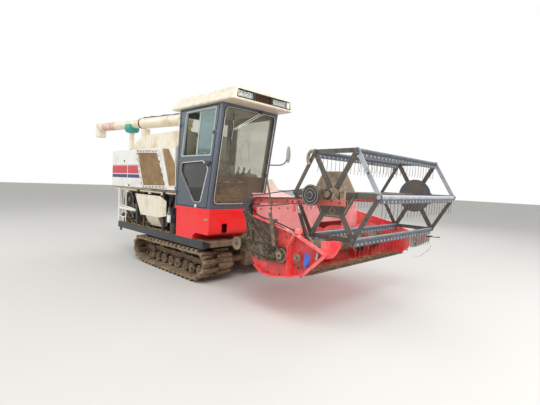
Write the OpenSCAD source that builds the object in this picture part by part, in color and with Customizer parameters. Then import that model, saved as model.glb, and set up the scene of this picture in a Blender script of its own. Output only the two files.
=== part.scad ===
// Tracked combine harvester with a cab, a pick-up reel header and an unloading auger.
// +X is forward, +Y is the machine's left and +Z is up. The origin is on the ground below
// the middle of the overall box. Sizes are in millimetres.

/* [Tracks] */
// Width of each rubber belt
track_w = 500; // [440:10:520]
// Outer face of each belt, from the centreline
track_outer = 965; // [940:5:1000]
// Thickness of the belt without its lugs
belt_t = 28; // [22:1:34]
// Height of the tread lugs
lug_h = 32; // [24:1:36]
// Number of tread lugs round one belt
lug_count = 40; // [34:1:44]
// Radius of the drive sprocket's tooth tips
sprocket_r = 130; // [115:1:140]
// Radius of the rear idler wheel
idler_r = 145; // [130:1:155]
// Radius of the lower track rollers
roller_r = 75; // [65:1:80]
// Radius of the upper carrier roller
carrier_r = 48; // [40:1:55]

/* [Frame] */
// Bottom of the main frame's beams above the ground
frame_z = 492; // [485:1:510]
// Height of the main frame's beams
beam_h = 108; // [90:2:120]
// Width of the main frame's beams
beam_w = 60; // [50:2:70]
// Rear end of the main frame
frame_rear = -2240; // [-2300:10:-2150]

/* [Cab] */
// Width of the cab
cab_w = 1000; // [940:10:1020]
// Outer face of the cab's door side, from the centreline
cab_side = 960; // [940:5:980]
// Height of the cab's floor
cab_floor_z = 1000; // [980:5:1020]
// Height of the top of the cab's walls
cab_eave_z = 2430; // [2380:10:2450]
// Thickness of the cab's walls and door
cab_wall_t = 40; // [30:1:45]
// Thickness of the window glass
glass_t = 5; // [4:0.5:8]
// Height of the roof above the cab's walls
roof_rise = 170; // [150:5:200]

/* [Body] */
// Height of the body's wide upper part above the ground
body_low_z = 1235; // [1200:5:1260]
// Height of the top of the rear side panels
panel_top_z = 1915; // [1880:5:1940]
// Height of the grain tank's roof
tank_top_z = 2170; // [2120:5:2200]
// Rear face of the body
body_rear = -2570; // [-2620:10:-2520]
// Height of the thresher's roof at its shoulders
thresher_top_z = 1500; // [1420:10:1560]
// Outer face of the thresher, from the centreline
thresher_side = 930; // [900:5:960]
// Thickness of the side panels
panel_t = 24; // [16:1:30]

/* [Header] */
// Inner width between the header's end plates
header_w = 2080; // [2040:10:2100]
// Angle by which the header is raised from its working level
header_tilt = 12; // [10:0.5:13]
// Thickness of the header's sheet metal
sheet_t = 6; // [4:1:8]
// Radius of the platform auger's tube
auger_tube_r = 125; // [110:1:140]
// Outer radius of the platform auger's flights
flight_r = 225; // [205:1:232]
// Pitch of the platform auger's flights
flight_pitch = 420; // [360:10:480]
// Spacing of the knife guards
guard_pitch = 76.2; // [70:0.1:80]
// Width of the feeder house
feeder_w = 600; // [540:10:640]

/* [Reel] */
// Radius from the reel's shaft to its tine bars
reel_r = 475; // [450:5:480]
// Length of the tine bars
reel_w = 1870; // [1800:10:1880]
// Radius of the reel's round plate at its left end
disc_r = 210; // [180:5:230]
// Radius of the reel's six-sided plate at its right end, to its corners
hub_plate_r = 252; // [230:2:270]
// Radius of each tine bar's tube
tine_bar_r = 20; // [16:0.5:22]
// Height of the flat rail below each tine bar's tube
tine_rail_h = 44; // [36:1:50]
// Length of the tines
tine_len = 150; // [120:5:160]
// Spacing of the tines
tine_pitch = 75; // [60:5:100]

/* [Unloading auger] */
// Radius of the auger's root tube
unload_root_r = 95; // [85:1:100]
// Radius of the auger's outer tube
unload_tube_r = 76; // [68:1:82]
// Height of the auger's axis above the grain tank's roof
unload_rise = 230; // [225:5:250]
// Length of the auger from its riser to its tip
unload_len = 2549; // [2450:1:2600]

/* [Hidden] */
roof_top_z = cab_eave_z + roof_rise;
unload_z = tank_top_z + unload_rise;
gap = 0.5;            // seat clearance between pieces that touch
run = 6;              // running clearance between pieces that move past each other
curve_fn = 48;        // facets of a full circle where OpenSCAD draws it

// Colours
cream = "#e6dcc0";
white = "#eceae2";
red = "#e0201c";
faded_red = "#e86a62";
slate = "#4b515c";
black = "#26272a";
mud = "#6f5f4c";
steel = "#8b8f94";

// Plain solids, placed by their faces
module block(x, y, z) {
    translate([x[0], y[0], z[0]]) cube([x[1] - x[0], y[1] - y[0], z[1] - z[0]]);
}
// A side profile in X and Z, as thick as y[1] - y[0]
module profile(points, y) {
    translate([0, y[1], 0]) rotate([90, 0, 0]) linear_extrude(y[1] - y[0]) polygon(points);
}
module rod_y(x, z, r, y) {
    translate([x, y[0], z]) rotate([-90, 0, 0]) cylinder(r = r, h = y[1] - y[0], $fn = curve_fn);
}
module rod_x(y, z, r, x) {
    translate([x[0], y, z]) rotate([0, 90, 0]) cylinder(r = r, h = x[1] - x[0], $fn = curve_fn);
}
module rod_z(x, y, r, z) {
    translate([x, y, z[0]]) cylinder(r = r, h = z[1] - z[0], $fn = curve_fn);
}
// A round bar from point a to point b
module bar(a, b, r) {
    d = b - a;
    translate(a) rotate([0, acos(d[2] / norm(d)), atan2(d[1], d[0])])
        cylinder(r = r, h = norm(d), $fn = curve_fn);
}
// A flat bar in a side plane from a to b, both in X and Z
module strap(a, b, w, y) {
    d = b - a;
    translate([a[0], y[1], a[1]]) rotate([90, 0, 0]) rotate([0, 0, atan2(d[1], d[0])])
        translate([0, -w / 2, 0]) cube([norm(d), w, y[1] - y[0]]);
}
module both_sides() {
    children();
    mirror([0, 1, 0]) children();
}
// Points of an arc in a side plane
function arc(c, r, a0, a1, n) = [for (k = [0:n]) let (a = a0 + (a1 - a0) * k / n) c + r * [cos(a), sin(a)]];

// Tracks. Each wheel that the belt runs on: X, Z, radius.
sole = belt_t + lug_h;
roller_z = sole + roller_r;
roller_x = [-1120, -930, -740, -520, -330, -110, 80, 285];
sprocket_x = 415;
sprocket_z = 277;
idler_x = -1355;
idler_z = idler_r + sole + 38;
belt_wheels = [
    [roller_x[0], roller_z, roller_r],
    [roller_x[7], roller_z, roller_r],
    [sprocket_x, sprocket_z, sprocket_r],
    [idler_x, idler_z, idler_r]
];
belt_n = len(belt_wheels);
// Outward angle of the belt's straight run from wheel i to the next
function run_angle(i) =
    let (a = belt_wheels[i % belt_n], b = belt_wheels[(i + 1) % belt_n], d = [b[0] - a[0], b[1] - a[1]])
    atan2(d[1], d[0]) - 90 + asin((a[2] - b[2]) / norm(d));
function run_length(i) =
    let (a = belt_wheels[i % belt_n], b = belt_wheels[(i + 1) % belt_n], d = [b[0] - a[0], b[1] - a[1]])
    sqrt(d * d - pow(a[2] - b[2], 2));
function turn_start(i) = run_angle(i + belt_n - 1);
function turn(i) = (run_angle(i) - turn_start(i) + 720) % 360;
function turn_length(i) = (belt_wheels[i][2] + belt_t / 2) * turn(i) * PI / 180;
function way_to(i) = i == 0 ? 0 : way_to(i - 1) + turn_length(i - 1) + run_length(i - 1);
belt_length = way_to(belt_n - 1) + turn_length(belt_n - 1) + run_length(belt_n - 1);
way_marks = [for (i = [0:belt_n - 1]) way_to(i)];
// The point at way s along the belt, raised by off from its inner face
function belt_point(s, off) =
    let (
        w = s - belt_length * floor(s / belt_length),
        i = max([for (k = [0:belt_n - 1]) if (way_marks[k] <= w) k]),
        t = w - way_marks[i],
        c = [belt_wheels[i][0], belt_wheels[i][1]],
        r = belt_wheels[i][2] + off,
        arc_len = turn_length(i),
        a = turn_start(i) + turn(i) * min(t, arc_len) / arc_len,
        rest = max(0, t - arc_len)
    )
    c + r * [cos(a), sin(a)] + rest * [-sin(a), cos(a)];
// A closed outline of count teeth from height low to height high
function toothed(count, low, high, share, ramp, phase) =
    let (p = belt_length / count)
    [for (k = [0:count - 1]) let (s = (k + phase) * p) each [
        belt_point(s, low), belt_point(s + ramp, high), belt_point(s + share * p - ramp, high),
        belt_point(s + share * p, low), belt_point(s + (1 + share) * p / 2, low)
    ]];
belt_inner = [for (i = [0:belt_n - 1])
    each arc([belt_wheels[i][0], belt_wheels[i][1]], belt_wheels[i][2], turn_start(i), turn_start(i) + turn(i), ceil(turn(i) / 5))];
guide_h = 30;         // height of the belt's inner guide teeth
guide_y = [42, 70];   // band of the guide teeth from the belt's middle
track_mid = track_outer - track_w / 2;

module track() {
    color(mud) {
        difference() {
            union() {
                profile(toothed(lug_count, belt_t, sole, 0.5, 8, 0), [-track_w / 2, 0]);
                profile(toothed(lug_count, belt_t, sole, 0.5, 8, 0.5), [0, track_w / 2]);
            }
            profile(belt_inner, [-track_w / 2 - 1, track_w / 2 + 1]);
        }
        both_sides() difference() {
            profile([for (k = [0:lug_count * 2 - 1]) belt_point(k * belt_length / lug_count / 2, belt_t / 2)], guide_y);
            profile(toothed(lug_count, 0, -guide_h, 0.4, 6, 0.25), [guide_y[0] - 1, guide_y[1] + 1]);
        }
    }
}
module track_right() translate([0, -track_mid, 0]) track();
module track_left() translate([0, track_mid, 0]) track();

// Lower rollers and upper carrier rollers
rim_y = [guide_y[1] + 8, guide_y[1] + 48];
carrier_x = [-820, -170];
// Height of the belt's upper run at x
function upper_run(x) =
    let (a = run_angle(2), c = belt_wheels[2], p = [c[0], c[1]] + c[2] * [cos(a), sin(a)])
    p[1] + (x - p[0]) * cos(a) / -sin(a);
axle_r = 20;
module roller(r) {
    both_sides() rod_y(0, 0, r, rim_y);
    rod_y(0, 0, r * 0.55, [-rim_y[0], rim_y[0]]);
    rod_y(0, 0, axle_r, [-rim_y[1] - 14, rim_y[1] + 14]);
}
module track_rollers() {
    color(mud) both_sides() translate([0, track_mid, 0]) {
        for (x = roller_x) translate([x, 0, roller_z + gap]) roller(roller_r);
        for (x = carrier_x) translate([x, 0, upper_run(x) - carrier_r - gap]) roller(carrier_r);
        translate([idler_x, 0, idler_z]) idler();
    }
}
// Wheels with a rim, a web and a hub
module wheel(r, w, rim, hub_r, hub_w) {
    rotate([90, 0, 0]) rotate_extrude($fn = curve_fn) polygon([
        [0, -hub_w / 2], [hub_r, -hub_w / 2], [hub_r, -w / 6], [r - rim, -w / 6], [r - rim, -w / 2], [r, -w / 2],
        [r, w / 2], [r - rim, w / 2], [r - rim, w / 6], [hub_r, w / 6], [hub_r, hub_w / 2], [0, hub_w / 2]
    ]);
}
module idler() {
    difference() {
        wheel(idler_r - gap, 64, 22, 42, 110);
        rod_y(0, 0, axle_r + gap, [-60, 60]);
    }
}
sprocket_teeth = 9;
module sprockets() {
    color(mud) both_sides() translate([sprocket_x, track_mid, sprocket_z]) difference() {
        rod_y(0, 0, sprocket_r - gap, [-32, 32]);
        for (k = [0:sprocket_teeth - 1]) rotate([0, k * 360 / sprocket_teeth, 0])
            rod_y(sprocket_r + 8, 0, 26, [-33, 33]);
        rod_y(0, 0, axle_hub_r + gap, [-33, 33]);
    }
}
axle_hub_r = 45;

// Track frames with their roller brackets, the idlers' forks and two cross beams
beam_z = [205, 285];
leg_x = [-900, -60];
module track_frames() {
    color(mud) {
        both_sides() translate([0, track_mid, 0]) {
            difference() {
                block([idler_x + idler_r + 20, sprocket_x - sprocket_r - 25], [-45, 45], beam_z);
                for (x = roller_x) rod_y(x, roller_z + gap, roller_r + 6, [-46, 46]);
            }
            // Side plates that hold the lower rollers' axles
            both_sides() difference() {
                profile([
                    [roller_x[0] - 60, beam_z[0]], [roller_x[0] - 30, roller_z - 32],
                    [roller_x[7] - 40, roller_z - 32], [roller_x[7] - 30, beam_z[0]],
                    [roller_x[7] - 60, beam_z[0] + 30], [roller_x[0] - 60, beam_z[0] + 30]
                ], [rim_y[1] + 4, rim_y[1] + 12]);
                for (x = roller_x) rod_y(x, roller_z + gap, axle_r + gap, [rim_y[1], rim_y[1] + 20]);
            }
            for (x = [(roller_x[0] + roller_x[1]) / 2, (roller_x[3] + roller_x[2]) / 2, (roller_x[5] + roller_x[4]) / 2])
                block([x - 15, x + 15], [-rim_y[1] - 6, rim_y[1] + 6], [beam_z[0] + 12, beam_z[0] + 28]);
            // Fork of the idler
            both_sides() difference() {
                block([idler_x - 45, idler_x + idler_r + 90], [60, 72], [idler_z - 36, idler_z + 36]);
                rod_y(idler_x, idler_z, axle_r + gap, [55, 80]);
            }
            rod_y(idler_x, idler_z, axle_r, [-80, 80]);
            block([idler_x + idler_r + 50, idler_x + idler_r + 90], [-72, 72], [idler_z - 36, idler_z + 36]);
            // Brackets of the carrier rollers
            for (x = carrier_x) both_sides() difference() {
                block([x - 24, x + 24], [rim_y[1] + 4, rim_y[1] + 12], [beam_z[0] + 20, upper_run(x) - carrier_r + 10]);
                rod_y(x, upper_run(x) - carrier_r - gap, axle_r + gap, [rim_y[1], rim_y[1] + 20]);
            }
        }
        for (x = leg_x) {
            block([x - 50, x + 50], [-track_mid + 40, track_mid - 40], [beam_z[0] + 12, beam_z[1] - 4]);
            both_sides() block([x - 50, x + 50], [frame_inner_y - 40, frame_inner_y + 40], [beam_z[1] - 4, frame_z - gap]);
        }
    }
}

// Transmission with its axle tubes out to the sprockets
module drive_axle() {
    color(mud) {
        rod_y(sprocket_x, sprocket_z, axle_hub_r, [-track_mid - 60, track_mid + 60]);
        both_sides() rod_y(sprocket_x, sprocket_z, 85, [track_mid - track_w / 2 - 60, track_mid - 34 - run]);
        block([sprocket_x - 200, sprocket_x + 110], [-170, 170], [sprocket_z - 110, frame_z + 8 - gap]);
    }
}

// Ladder frame of rectangular beams
frame_front = 530;
frame_outer_y = 930;
frame_inner_y = 380;
frame_top = frame_z + beam_h;
cross_x = [frame_rear + 40, -1500, -860, -150, frame_front - 50];
lash_x = [frame_rear + 60];
lash_z = frame_z - 18;
lash_t = 12;
lash_r = 18;
module main_frame() {
    color(black) {
        both_sides() {
            block([frame_rear, frame_front], [frame_outer_y - beam_w / 2, frame_outer_y + beam_w / 2], [frame_z, frame_top]);
            block([frame_rear, frame_front], [frame_inner_y - beam_w / 2, frame_inner_y + beam_w / 2], [frame_z, frame_top]);
        }
        for (x = cross_x) block([x - 30, x + 30], [-frame_outer_y, frame_outer_y], [frame_z + 8, frame_top - 8]);
        // Lashing plates at the rear corners
        both_sides() for (x = lash_x) difference() {
            block([x - 40, x + 40], [frame_outer_y - lash_t / 2, frame_outer_y + lash_t / 2], [lash_z - 40, frame_z + 2]);
            rod_y(x, lash_z, lash_r, [frame_outer_y - 20, frame_outer_y + 20]);
        }
        // Ears of the header's lifting cylinder
        for (y = lift_ears) profile([
            [frame_front - 90, frame_z + 12], [frame_front - 5, frame_z + 12], [lift_base[0] + 30, lift_base[1] - 28],
            [lift_base[0] + 34, lift_base[1] + 22], [lift_base[0] - 30, lift_base[1] + 36], [frame_front - 90, frame_top - 12]
        ], y);
        rod_y(lift_base[0], lift_base[1], 20, [lift_ears[0][0], lift_ears[1][1]]);
    }
}

// Engine, one plain block behind the cab
module engine() {
    color(steel) block([-1250, -560], [-700, -160], [body_low_z + wall + gap, 1700]);
}

// Thresher: a closed body of sheet metal with the straw outlet at its rear
thresher_front = 95;
thresher_inner = 56;
wall = 5;
thresher_low = frame_top + gap;
thresher_side_points = [
    [body_rear, 1120], [-2200, 980], [-1900, thresher_low], [thresher_front, thresher_low],
    [thresher_front, thresher_top_z], [body_rear + 40, thresher_top_z], [body_rear, thresher_top_z - 60]
];
shoulder = [150, 160];
// A section in Y and Z, as long as x[1] - x[0]
module section(points, x) {
    translate([x[0], 0, 0]) rotate([90, 0, 90]) linear_extrude(x[1] - x[0]) polygon(points);
}
thresher_inner_points = [
    [body_rear + wall, 1124], [-2197, 985], [-1898, thresher_low + wall], [thresher_front - wall, thresher_low + wall],
    [thresher_front - wall, thresher_top_z - wall], [body_rear + 42, thresher_top_z - wall],
    [body_rear + wall, thresher_top_z - 62]
];
module shoulder_cut(t) {
    n = norm(shoulder);
    d = [-shoulder[0], shoulder[1]] / n;
    o = [shoulder[1], shoulder[0]] / n;
    a = [thresher_side, thresher_top_z - shoulder[1]] - t * o;
    section([a - 40 * d, a + (n + 40) * d, a + (n + 40) * d + 300 * o, a - 40 * d + 300 * o],
        [body_rear - 10, thresher_front + 10]);
}
module thresher_form() {
    difference() {
        profile(thresher_side_points, [thresher_inner, thresher_side]);
        shoulder_cut(0);
    }
}
module thresher_hollow() {
    difference() {
        profile(thresher_inner_points, [thresher_inner + wall, thresher_side - wall]);
        shoulder_cut(wall);
    }
}
module thresher() {
    color(cream) difference() {
        thresher_form();
        thresher_hollow();
        // Straw outlet
        block([body_rear - 10, body_rear + 120], [thresher_inner + 60, thresher_side - 200], [1150, 1380]);
        // Mouth for the feeder house
        block([thresher_front - 10, thresher_front + 10], [feeder_y[0] + 30, feeder_y[1] - 30], [880, 1280]);
    }
    color(cream) for (y = [feeder_y[0] + 20, feeder_y[1] - 70]) difference() {
        profile([
            [thresher_front - wall, lift_pivot[1] - 60], [thresher_front + 60, lift_pivot[1] - 50],
            [lift_pivot[0] + 45, lift_pivot[1]], [lift_pivot[0], lift_pivot[1] + 45], [thresher_front - wall, lift_pivot[1] + 90]
        ], [y, y + 14]);
        rod_y(lift_pivot[0], lift_pivot[1], 25 + gap, [y - 1, y + 15]);
    }
}

// Grain tank with its hopper over the engine
tank_front = -240;
body_side = 960;
tank_side = body_side - panel_t - gap;
tank_points = [
    [body_rear, body_low_z], [tank_front, body_low_z], [tank_front, tank_top_z], [-1350, tank_top_z - 5],
    [-1730, 2080], [-1900, panel_top_z + 15], [body_rear, panel_top_z + 5]
];
hopper_inset = 60;
tank_section = [
    [-tank_side, body_low_z - 1], [thresher_inner - 8, body_low_z - 1], [thresher_inner - 8, tank_top_z + 1],
    [-tank_side + hopper_inset, tank_top_z + 1], [-tank_side + hopper_inset, panel_top_z + 20], [-tank_side, panel_top_z + 10]
];
module tank_form(t) {
    intersection() {
        profile([for (p = tank_points) [
            min(max(p[0], body_rear + t), tank_front - t), p[1] < panel_top_z - 100 ? p[1] + t : p[1] - t
        ]], [-tank_side + t, thresher_inner - 8 - t]);
        section([for (p = tank_section) [max(p[0] + (p[0] < 0 ? t : -t), -tank_side + t), p[1]]], [body_rear, tank_front]);
    }
}
module grain_tank() {
    color(cream) difference() {
        tank_form(0);
        tank_form(wall);
        // Opening behind the engine's air screen
        block([-1300, -620], [-tank_side - 10, -tank_side + 30], [1330, 1820]);
    }
    // Legs that carry the tank on the main frame
    color(slate) {
        for (x = [cross_x[1], -600]) {
            block([x - 22, x + 22], [-body_side + 14.5, -900], [frame_top + gap, body_low_z - 30]);
            block([x - 22, x + 22], [-tank_side, -900], [body_low_z - 31, body_low_z - gap]);
        }
        for (x = [cross_x[1], cross_x[2]]) block([x - 22, x + 22], [-52, -8], [frame_top - 8 + gap, body_low_z - gap]);
    }
}

// Outer panels of the right side, a post at the rear and the lower cream panel with its funnel
screen_tl = [-1513, 1881];
screen_tr = [-766, 1856];
screen_br = [-484, 1303];
screen_bl = [-1274, 1282];
seam_x = -1880;
screen_hinge = [(screen_tl[0] + screen_bl[0]) / 2 - 20, (screen_tl[1] + screen_bl[1]) / 2];
screen_lean = atan2(screen_tl[0] - screen_bl[0], screen_tl[1] - screen_bl[1]);
module on_screen_hinge() translate([screen_hinge[0], -body_side - 20, screen_hinge[1]]) rotate([0, screen_lean, 0])
    for (z = [-220, 220]) translate([0, 0, z]) children();
module side_panels() {
    y = [-body_side, -body_side + panel_t];
    color(white) on_screen_hinge() {
        rod_z(0, 0, 4, [-27, 26]);
        rod_z(0, 0, 7, [-26, -1]);
        block([-34, 0], [3, 21], [-26, -1]);
    }
    color(cream) {
        profile([[body_rear, body_low_z], [seam_x - 4, body_low_z - 10], [seam_x - 4, panel_top_z], [body_rear, panel_top_z]], y);
        difference() {
            profile([
                [seam_x + 4, body_low_z - 10], [-1330, body_low_z - 20], [tank_front, body_low_z - 20],
                [tank_front, panel_top_z], [seam_x + 4, panel_top_z]
            ], y);
            profile([
                screen_tl + [-25, 26], screen_tr + [25, 20], screen_br + [28, -22], screen_bl + [-25, -22]
            ], [y[0] - 1, y[1] + 1]);
        }
        // Lower panel
        profile([
            [-1540, 1150], [-670, 1150], [-480, 1080], [-480, 850], [-700, 810], [-1320, 810]
        ], [-body_side, -body_side + 14]);
    }
    color(cream) section([
        [-body_side + 14, 830], [-700, 830], [-760, 650], [-body_side + 110, 640]
    ], [-1200, -780]);
    color(white) {
        block([-2260, -2215], [-body_side, -body_side + 45], [frame_top + gap, body_low_z - 12]);
        block([-2215, -1560], [-body_side + 10, -body_side + 34], [835, 875]);
    }
}

// Hinged air screen of the engine
module screen_door() {
    color(white) difference() {
        profile([screen_tl + [-15, 7], screen_tr + [15, 12], screen_br + [18, -12], screen_bl + [-15, -12]],
            [-body_side - 12, -body_side + panel_t]);
        profile([screen_tl + [20, -20], screen_tr + [-22, -20], screen_br + [-18, 22], screen_bl + [22, 22]],
            [-body_side - 13, -body_side + 12]);
    }
    color(white) on_screen_hinge() difference() {
        union() {
            rod_z(0, 0, 7, [0, 25]);
            block([0, 34], [3, 9], [0, 25]);
        }
        rod_z(0, 0, 4.3, [-1, 27]);
    }
}

// Pulleys and belts in the open bay behind the post
module pulley(x, z, r, y, hub) {
    translate([x, (y[0] + y[1]) / 2, z]) wheel(r, y[1] - y[0], max(8, r * 0.16), r * 0.28, hub);
}
module belt(a, b, ra, rb, t, y) {
    d = b - a;
    c = norm(d);
    s = asin((ra - rb) / c);
    f = atan2(d[1], d[0]);
    outer = concat(arc(a, ra + t, f + 90 - s, f + 270 + s, 16), arc(b, rb + t, f - 90 + s, f + 90 - s, 16));
    inner = concat(arc(a, ra, f + 90 - s, f + 270 + s, 16), arc(b, rb, f - 90 + s, f + 90 - s, 16));
    difference() {
        profile(outer, y);
        profile(inner, [y[0] - 1, y[1] + 1]);
    }
}
module lower_drives() {
    y = -body_side + 60;
    color(mud) {
        pulley(-1900, 1030, 150, [y, y + 40], 60);
        pulley(-1560, 720, 85, [y, y + 40], 60);
        rod_y(-1900, 1030, 22, [y - 6, thresher_inner - gap]);
        rod_y(-1560, 720, 18, [y - 6, thresher_inner - gap]);
        block([-1440, -920], [-690, -90], [frame_top + gap, 790]);
    }
    color(black) belt([-1900, 1030], [-1560, 720], 150 + gap, 85 + gap, 10, [y + 8, y + 32]);
    color(white) rod_z(-330, -905, 50, [frame_top + gap, 760]);
}

// Rest posts of the unloading auger on the tank's roof
module auger_posts() {
    a = unload_point(1037);
    b = unload_point(1441);
    top = rest_z(unload_root_r + 3);
    color(cream) {
        difference() {
            profile([
                [a[0] - 35, hopper_z(a[0] - 35) + gap], [a[0] + 35, hopper_z(a[0] + 35) + gap],
                [a[0] + 35, top], [a[0] - 35, top]
            ], [a[1] - 70, a[1] + 70]);
            block([a[0] - 25, a[0] + 25], [a[1] - 50, a[1] + 50], [hopper_z(a[0]) - 80, top - 20]);
        }
        rod_z(b[0], b[1], 16, [hopper_z(b[0] + 16) + gap, rest_z(unload_tube_r) - 30]);
    }
    color("#2f6f72") block([b[0] - 40, b[0] + 40], [b[1] - 65, b[1] + 65], [rest_z(unload_tube_r) - 30, rest_z(unload_tube_r)]);
}
// The point of the stowed auger's axis at a distance from its riser
function unload_point(t) = unload_at - t * [cos(unload_yaw), sin(unload_yaw)];
// Height of the tank's roof at x, over its rear slope and rear part
function hopper_z(x) = x > -1730
    ? 2080 + (x + 1730) * (tank_top_z - 5 - 2080) / 380
    : panel_top_z + 15 + (x + 1900) * 10 / (-1900 - body_rear);
// Height of the tank's roof at x, over its front part
function roof_z(x) = tank_top_z - 5 * (tank_front - x) / (tank_front + 1350);
function rest_z(r) = unload_z - r - run;

// Cab. Side outline in X and Z
cab_rear_low = -210;
cab_rear_top = -130;
cab_front_low = 650;
cab_front_top = 880;
cab_inner_y = cab_w - cab_side;
base_top = 1045;
// X of the cab's rear and front faces at height z
function cab_rear(z) = cab_rear_low + (cab_rear_top - cab_rear_low) * (z - base_top) / (cab_eave_z - base_top);
function cab_front(z) = cab_front_low + (cab_front_top - cab_front_low) * (z - base_top) / (cab_eave_z - base_top);
front_lean = atan2(cab_front_top - cab_front_low, cab_eave_z - base_top);
cab_low = base_top + gap;

// Red base under the cab, open below and behind
module cab_base() {
    y = [-cab_side, cab_inner_y];
    outline = [
        [-160, 573], [280, 573], [280, 660], [360, 700], [640, 700], [660, 740], [660, base_top - 45],
        [665, base_top - 45], [665, base_top], [cab_rear_low, base_top], [cab_rear_low, base_top - 45], [-160, base_top - 45]
    ];
    color(red) difference() {
        profile(outline, y);
        profile([
            [-151, 500], [271, 500], [271, 667], [360, 709], [640, 709], [651, 740], [651, base_top - 9], [-151, base_top - 9]
        ], [y[0] + 9, y[1] - 9]);
        block([-170, 271], [y[0] + 9, y[1] - 9], [560, frame_top + 20]);
        // Slot of the front face
        block([600, 700], [-745, -650], [690, 845]);
        block([-170, 700], [y[1] - 10, y[1] + 1], [560, frame_top + gap]);
        // Room for the main frame's beams
        block([260, 290], [-frame_inner_y - beam_w / 2 - 2, -frame_inner_y + beam_w / 2 + 2], [560, frame_top + gap]);
        block([-200, 700], [-frame_outer_y - beam_w / 2 - 2, -frame_outer_y + beam_w / 2 + 2], [560, frame_top + gap]);
    }
}
module front_step() {
    color(mud) {
        block([285, 700], [-frame_outer_y - 20, -frame_inner_y + 30], [frame_top + gap, frame_top + 8]);
        block([694, 700], [-frame_outer_y - 20, -frame_inner_y + 30], [frame_top - 60, frame_top + 8]);
    }
}

module cab_side_form(t, y) {
    profile([
        [cab_rear(cab_low) + t, cab_low], [cab_front(cab_low) - t, cab_low],
        [cab_front_top - t, cab_eave_z], [cab_rear_top + t, cab_eave_z]
    ], y);
}
// A window in a side plane with corners rounded by r
module side_window(points, y) profile(points, y);
door_window = [[49, 2381], [755, 2381], [660, 1764], [-63, 1761]];
door_low_window = [[-44, 1667], [482, 1688], [602, 1594], [443, 1132], [272, 1135], [-64, 1537]];
door_low = base_top + 15;
door_high = cab_eave_z - 20;
door_rear_gap = 45;
door_front_gap = 60;
door_points = [
    [cab_rear(door_low) + door_rear_gap, door_low], [cab_rear(door_high) + door_rear_gap, door_high],
    [cab_front(door_high) - door_front_gap, door_high], [cab_front(door_low) - door_front_gap, door_low]
];
door_edge = 5;
module cab_frame() {
    y = [-cab_side, cab_inner_y];
    color(slate) difference() {
        cab_side_form(0, y);
        profile([
            [cab_rear(cab_low) + cab_wall_t, cab_low - 1], [cab_front(cab_low) - cab_wall_t, cab_low - 1],
            [cab_front_top - cab_wall_t, cab_eave_z + 1], [cab_rear_top + cab_wall_t, cab_eave_z + 1]
        ], [y[0] + cab_wall_t, y[1] - cab_wall_t]);
        // Doorway
        profile([
            door_points[0] + [-door_edge, -door_edge], door_points[1] + [-door_edge, door_edge],
            door_points[2] + [door_edge, door_edge], door_points[3] + [door_edge, -door_edge]
        ], [y[0] - 1, y[0] + cab_wall_t + 1]);
        // Windscreen
        translate([cab_front_low, 0, base_top]) rotate([0, front_lean, 0])
            block([-cab_wall_t * 2, 20], [y[0] + 50, y[1] - 50], [75, (cab_eave_z - base_top) / cos(front_lean) - 40]);
        // Left window
        profile([[cab_rear(1500) + 110, 1500], [cab_rear(2370) + 110, 2370], [cab_front(2370) - 110, 2370], [cab_front(1500) - 110, 1500]],
            [y[1] - cab_wall_t - 1, y[1] + 1]);
        // Rear window, open between its rubber seals
        block([cab_rear_low - 10, cab_rear_top + 120], [y[0] + 120, y[1] - 120], [1750, 2340]);
    }
    color(slate) on_hinge() {
        rod_z(0, 0, 6, [-30, 30]);
        rod_z(0, 0, 10, [-30, -2]);
        block([-38, 0], [5, 11.5], [-30, -2]);
    }
}
// Hinges of the door, standing on its leaning rear edge
hinge_at = [cab_rear((door_low + door_high) / 2) + door_rear_gap - 2, -cab_side - 10.5, (door_low + door_high) / 2];
hinge_lean = atan2(cab_rear_top - cab_rear_low, cab_eave_z - base_top);
hinge_z = [-480, 480];
module on_hinge() translate(hinge_at) rotate([0, hinge_lean, 0]) for (z = hinge_z) translate([0, 0, z]) children();
module cab_glass() {
    y = [-cab_side, cab_inner_y];
    color("#9fb6a8") {
        translate([cab_front_low, 0, base_top]) rotate([0, front_lean, 0])
            block([-20 - glass_t, -20], [y[0] + 50 + gap, y[1] - 50 - gap],
                [75 + gap, (cab_eave_z - base_top) / cos(front_lean) - 40 - gap]);
        profile([
            [cab_rear(1500) + 110.3, 1500.3], [cab_rear(2370) + 110.3, 2369.7],
            [cab_front(2370) - 110.3, 2369.7], [cab_front(1500) - 110.3, 1500.3]
        ], [y[1] - 20 - glass_t, y[1] - 20]);
        profile([
            [cab_rear(1750) + 15, 1750.3], [cab_rear(2340) + 15, 2339.7], [cab_rear(2340) + 15 + glass_t, 2339.7],
            [cab_rear(1750) + 15 + glass_t, 1750.3]
        ], [y[0] + 120.3, y[1] - 120.3]);
    }
}
module cab_door() {
    y = [-cab_side, -cab_side + cab_wall_t];
    color(slate) difference() {
        profile(door_points, y);
        profile(door_window, [y[0] - 1, y[1] + 1]);
        profile(door_low_window, [y[0] - 1, y[1] + 1]);
    }
    color(slate) on_hinge() difference() {
        union() {
            rod_z(0, 0, 10, [0, 28]);
            block([0, 60], [5, 11.5], [0, 28]);
        }
        rod_z(0, 0, 6.3, [-1, 29]);
    }
    color(black) block([560, 640], [-cab_side - 14, -cab_side], [1640, 1665]);
}
function inset(points, c, d) = [for (p = points) p + d * (c - p) / norm(c - p)];
module door_glass() {
    y = [-cab_side + 16, -cab_side + 16 + glass_t];
    color("#9fb6a8") {
        profile(inset(door_window, [350, 2070], gap * 2), y);
        profile(inset(door_low_window, [270, 1450], gap * 2), y);
    }
}

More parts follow.
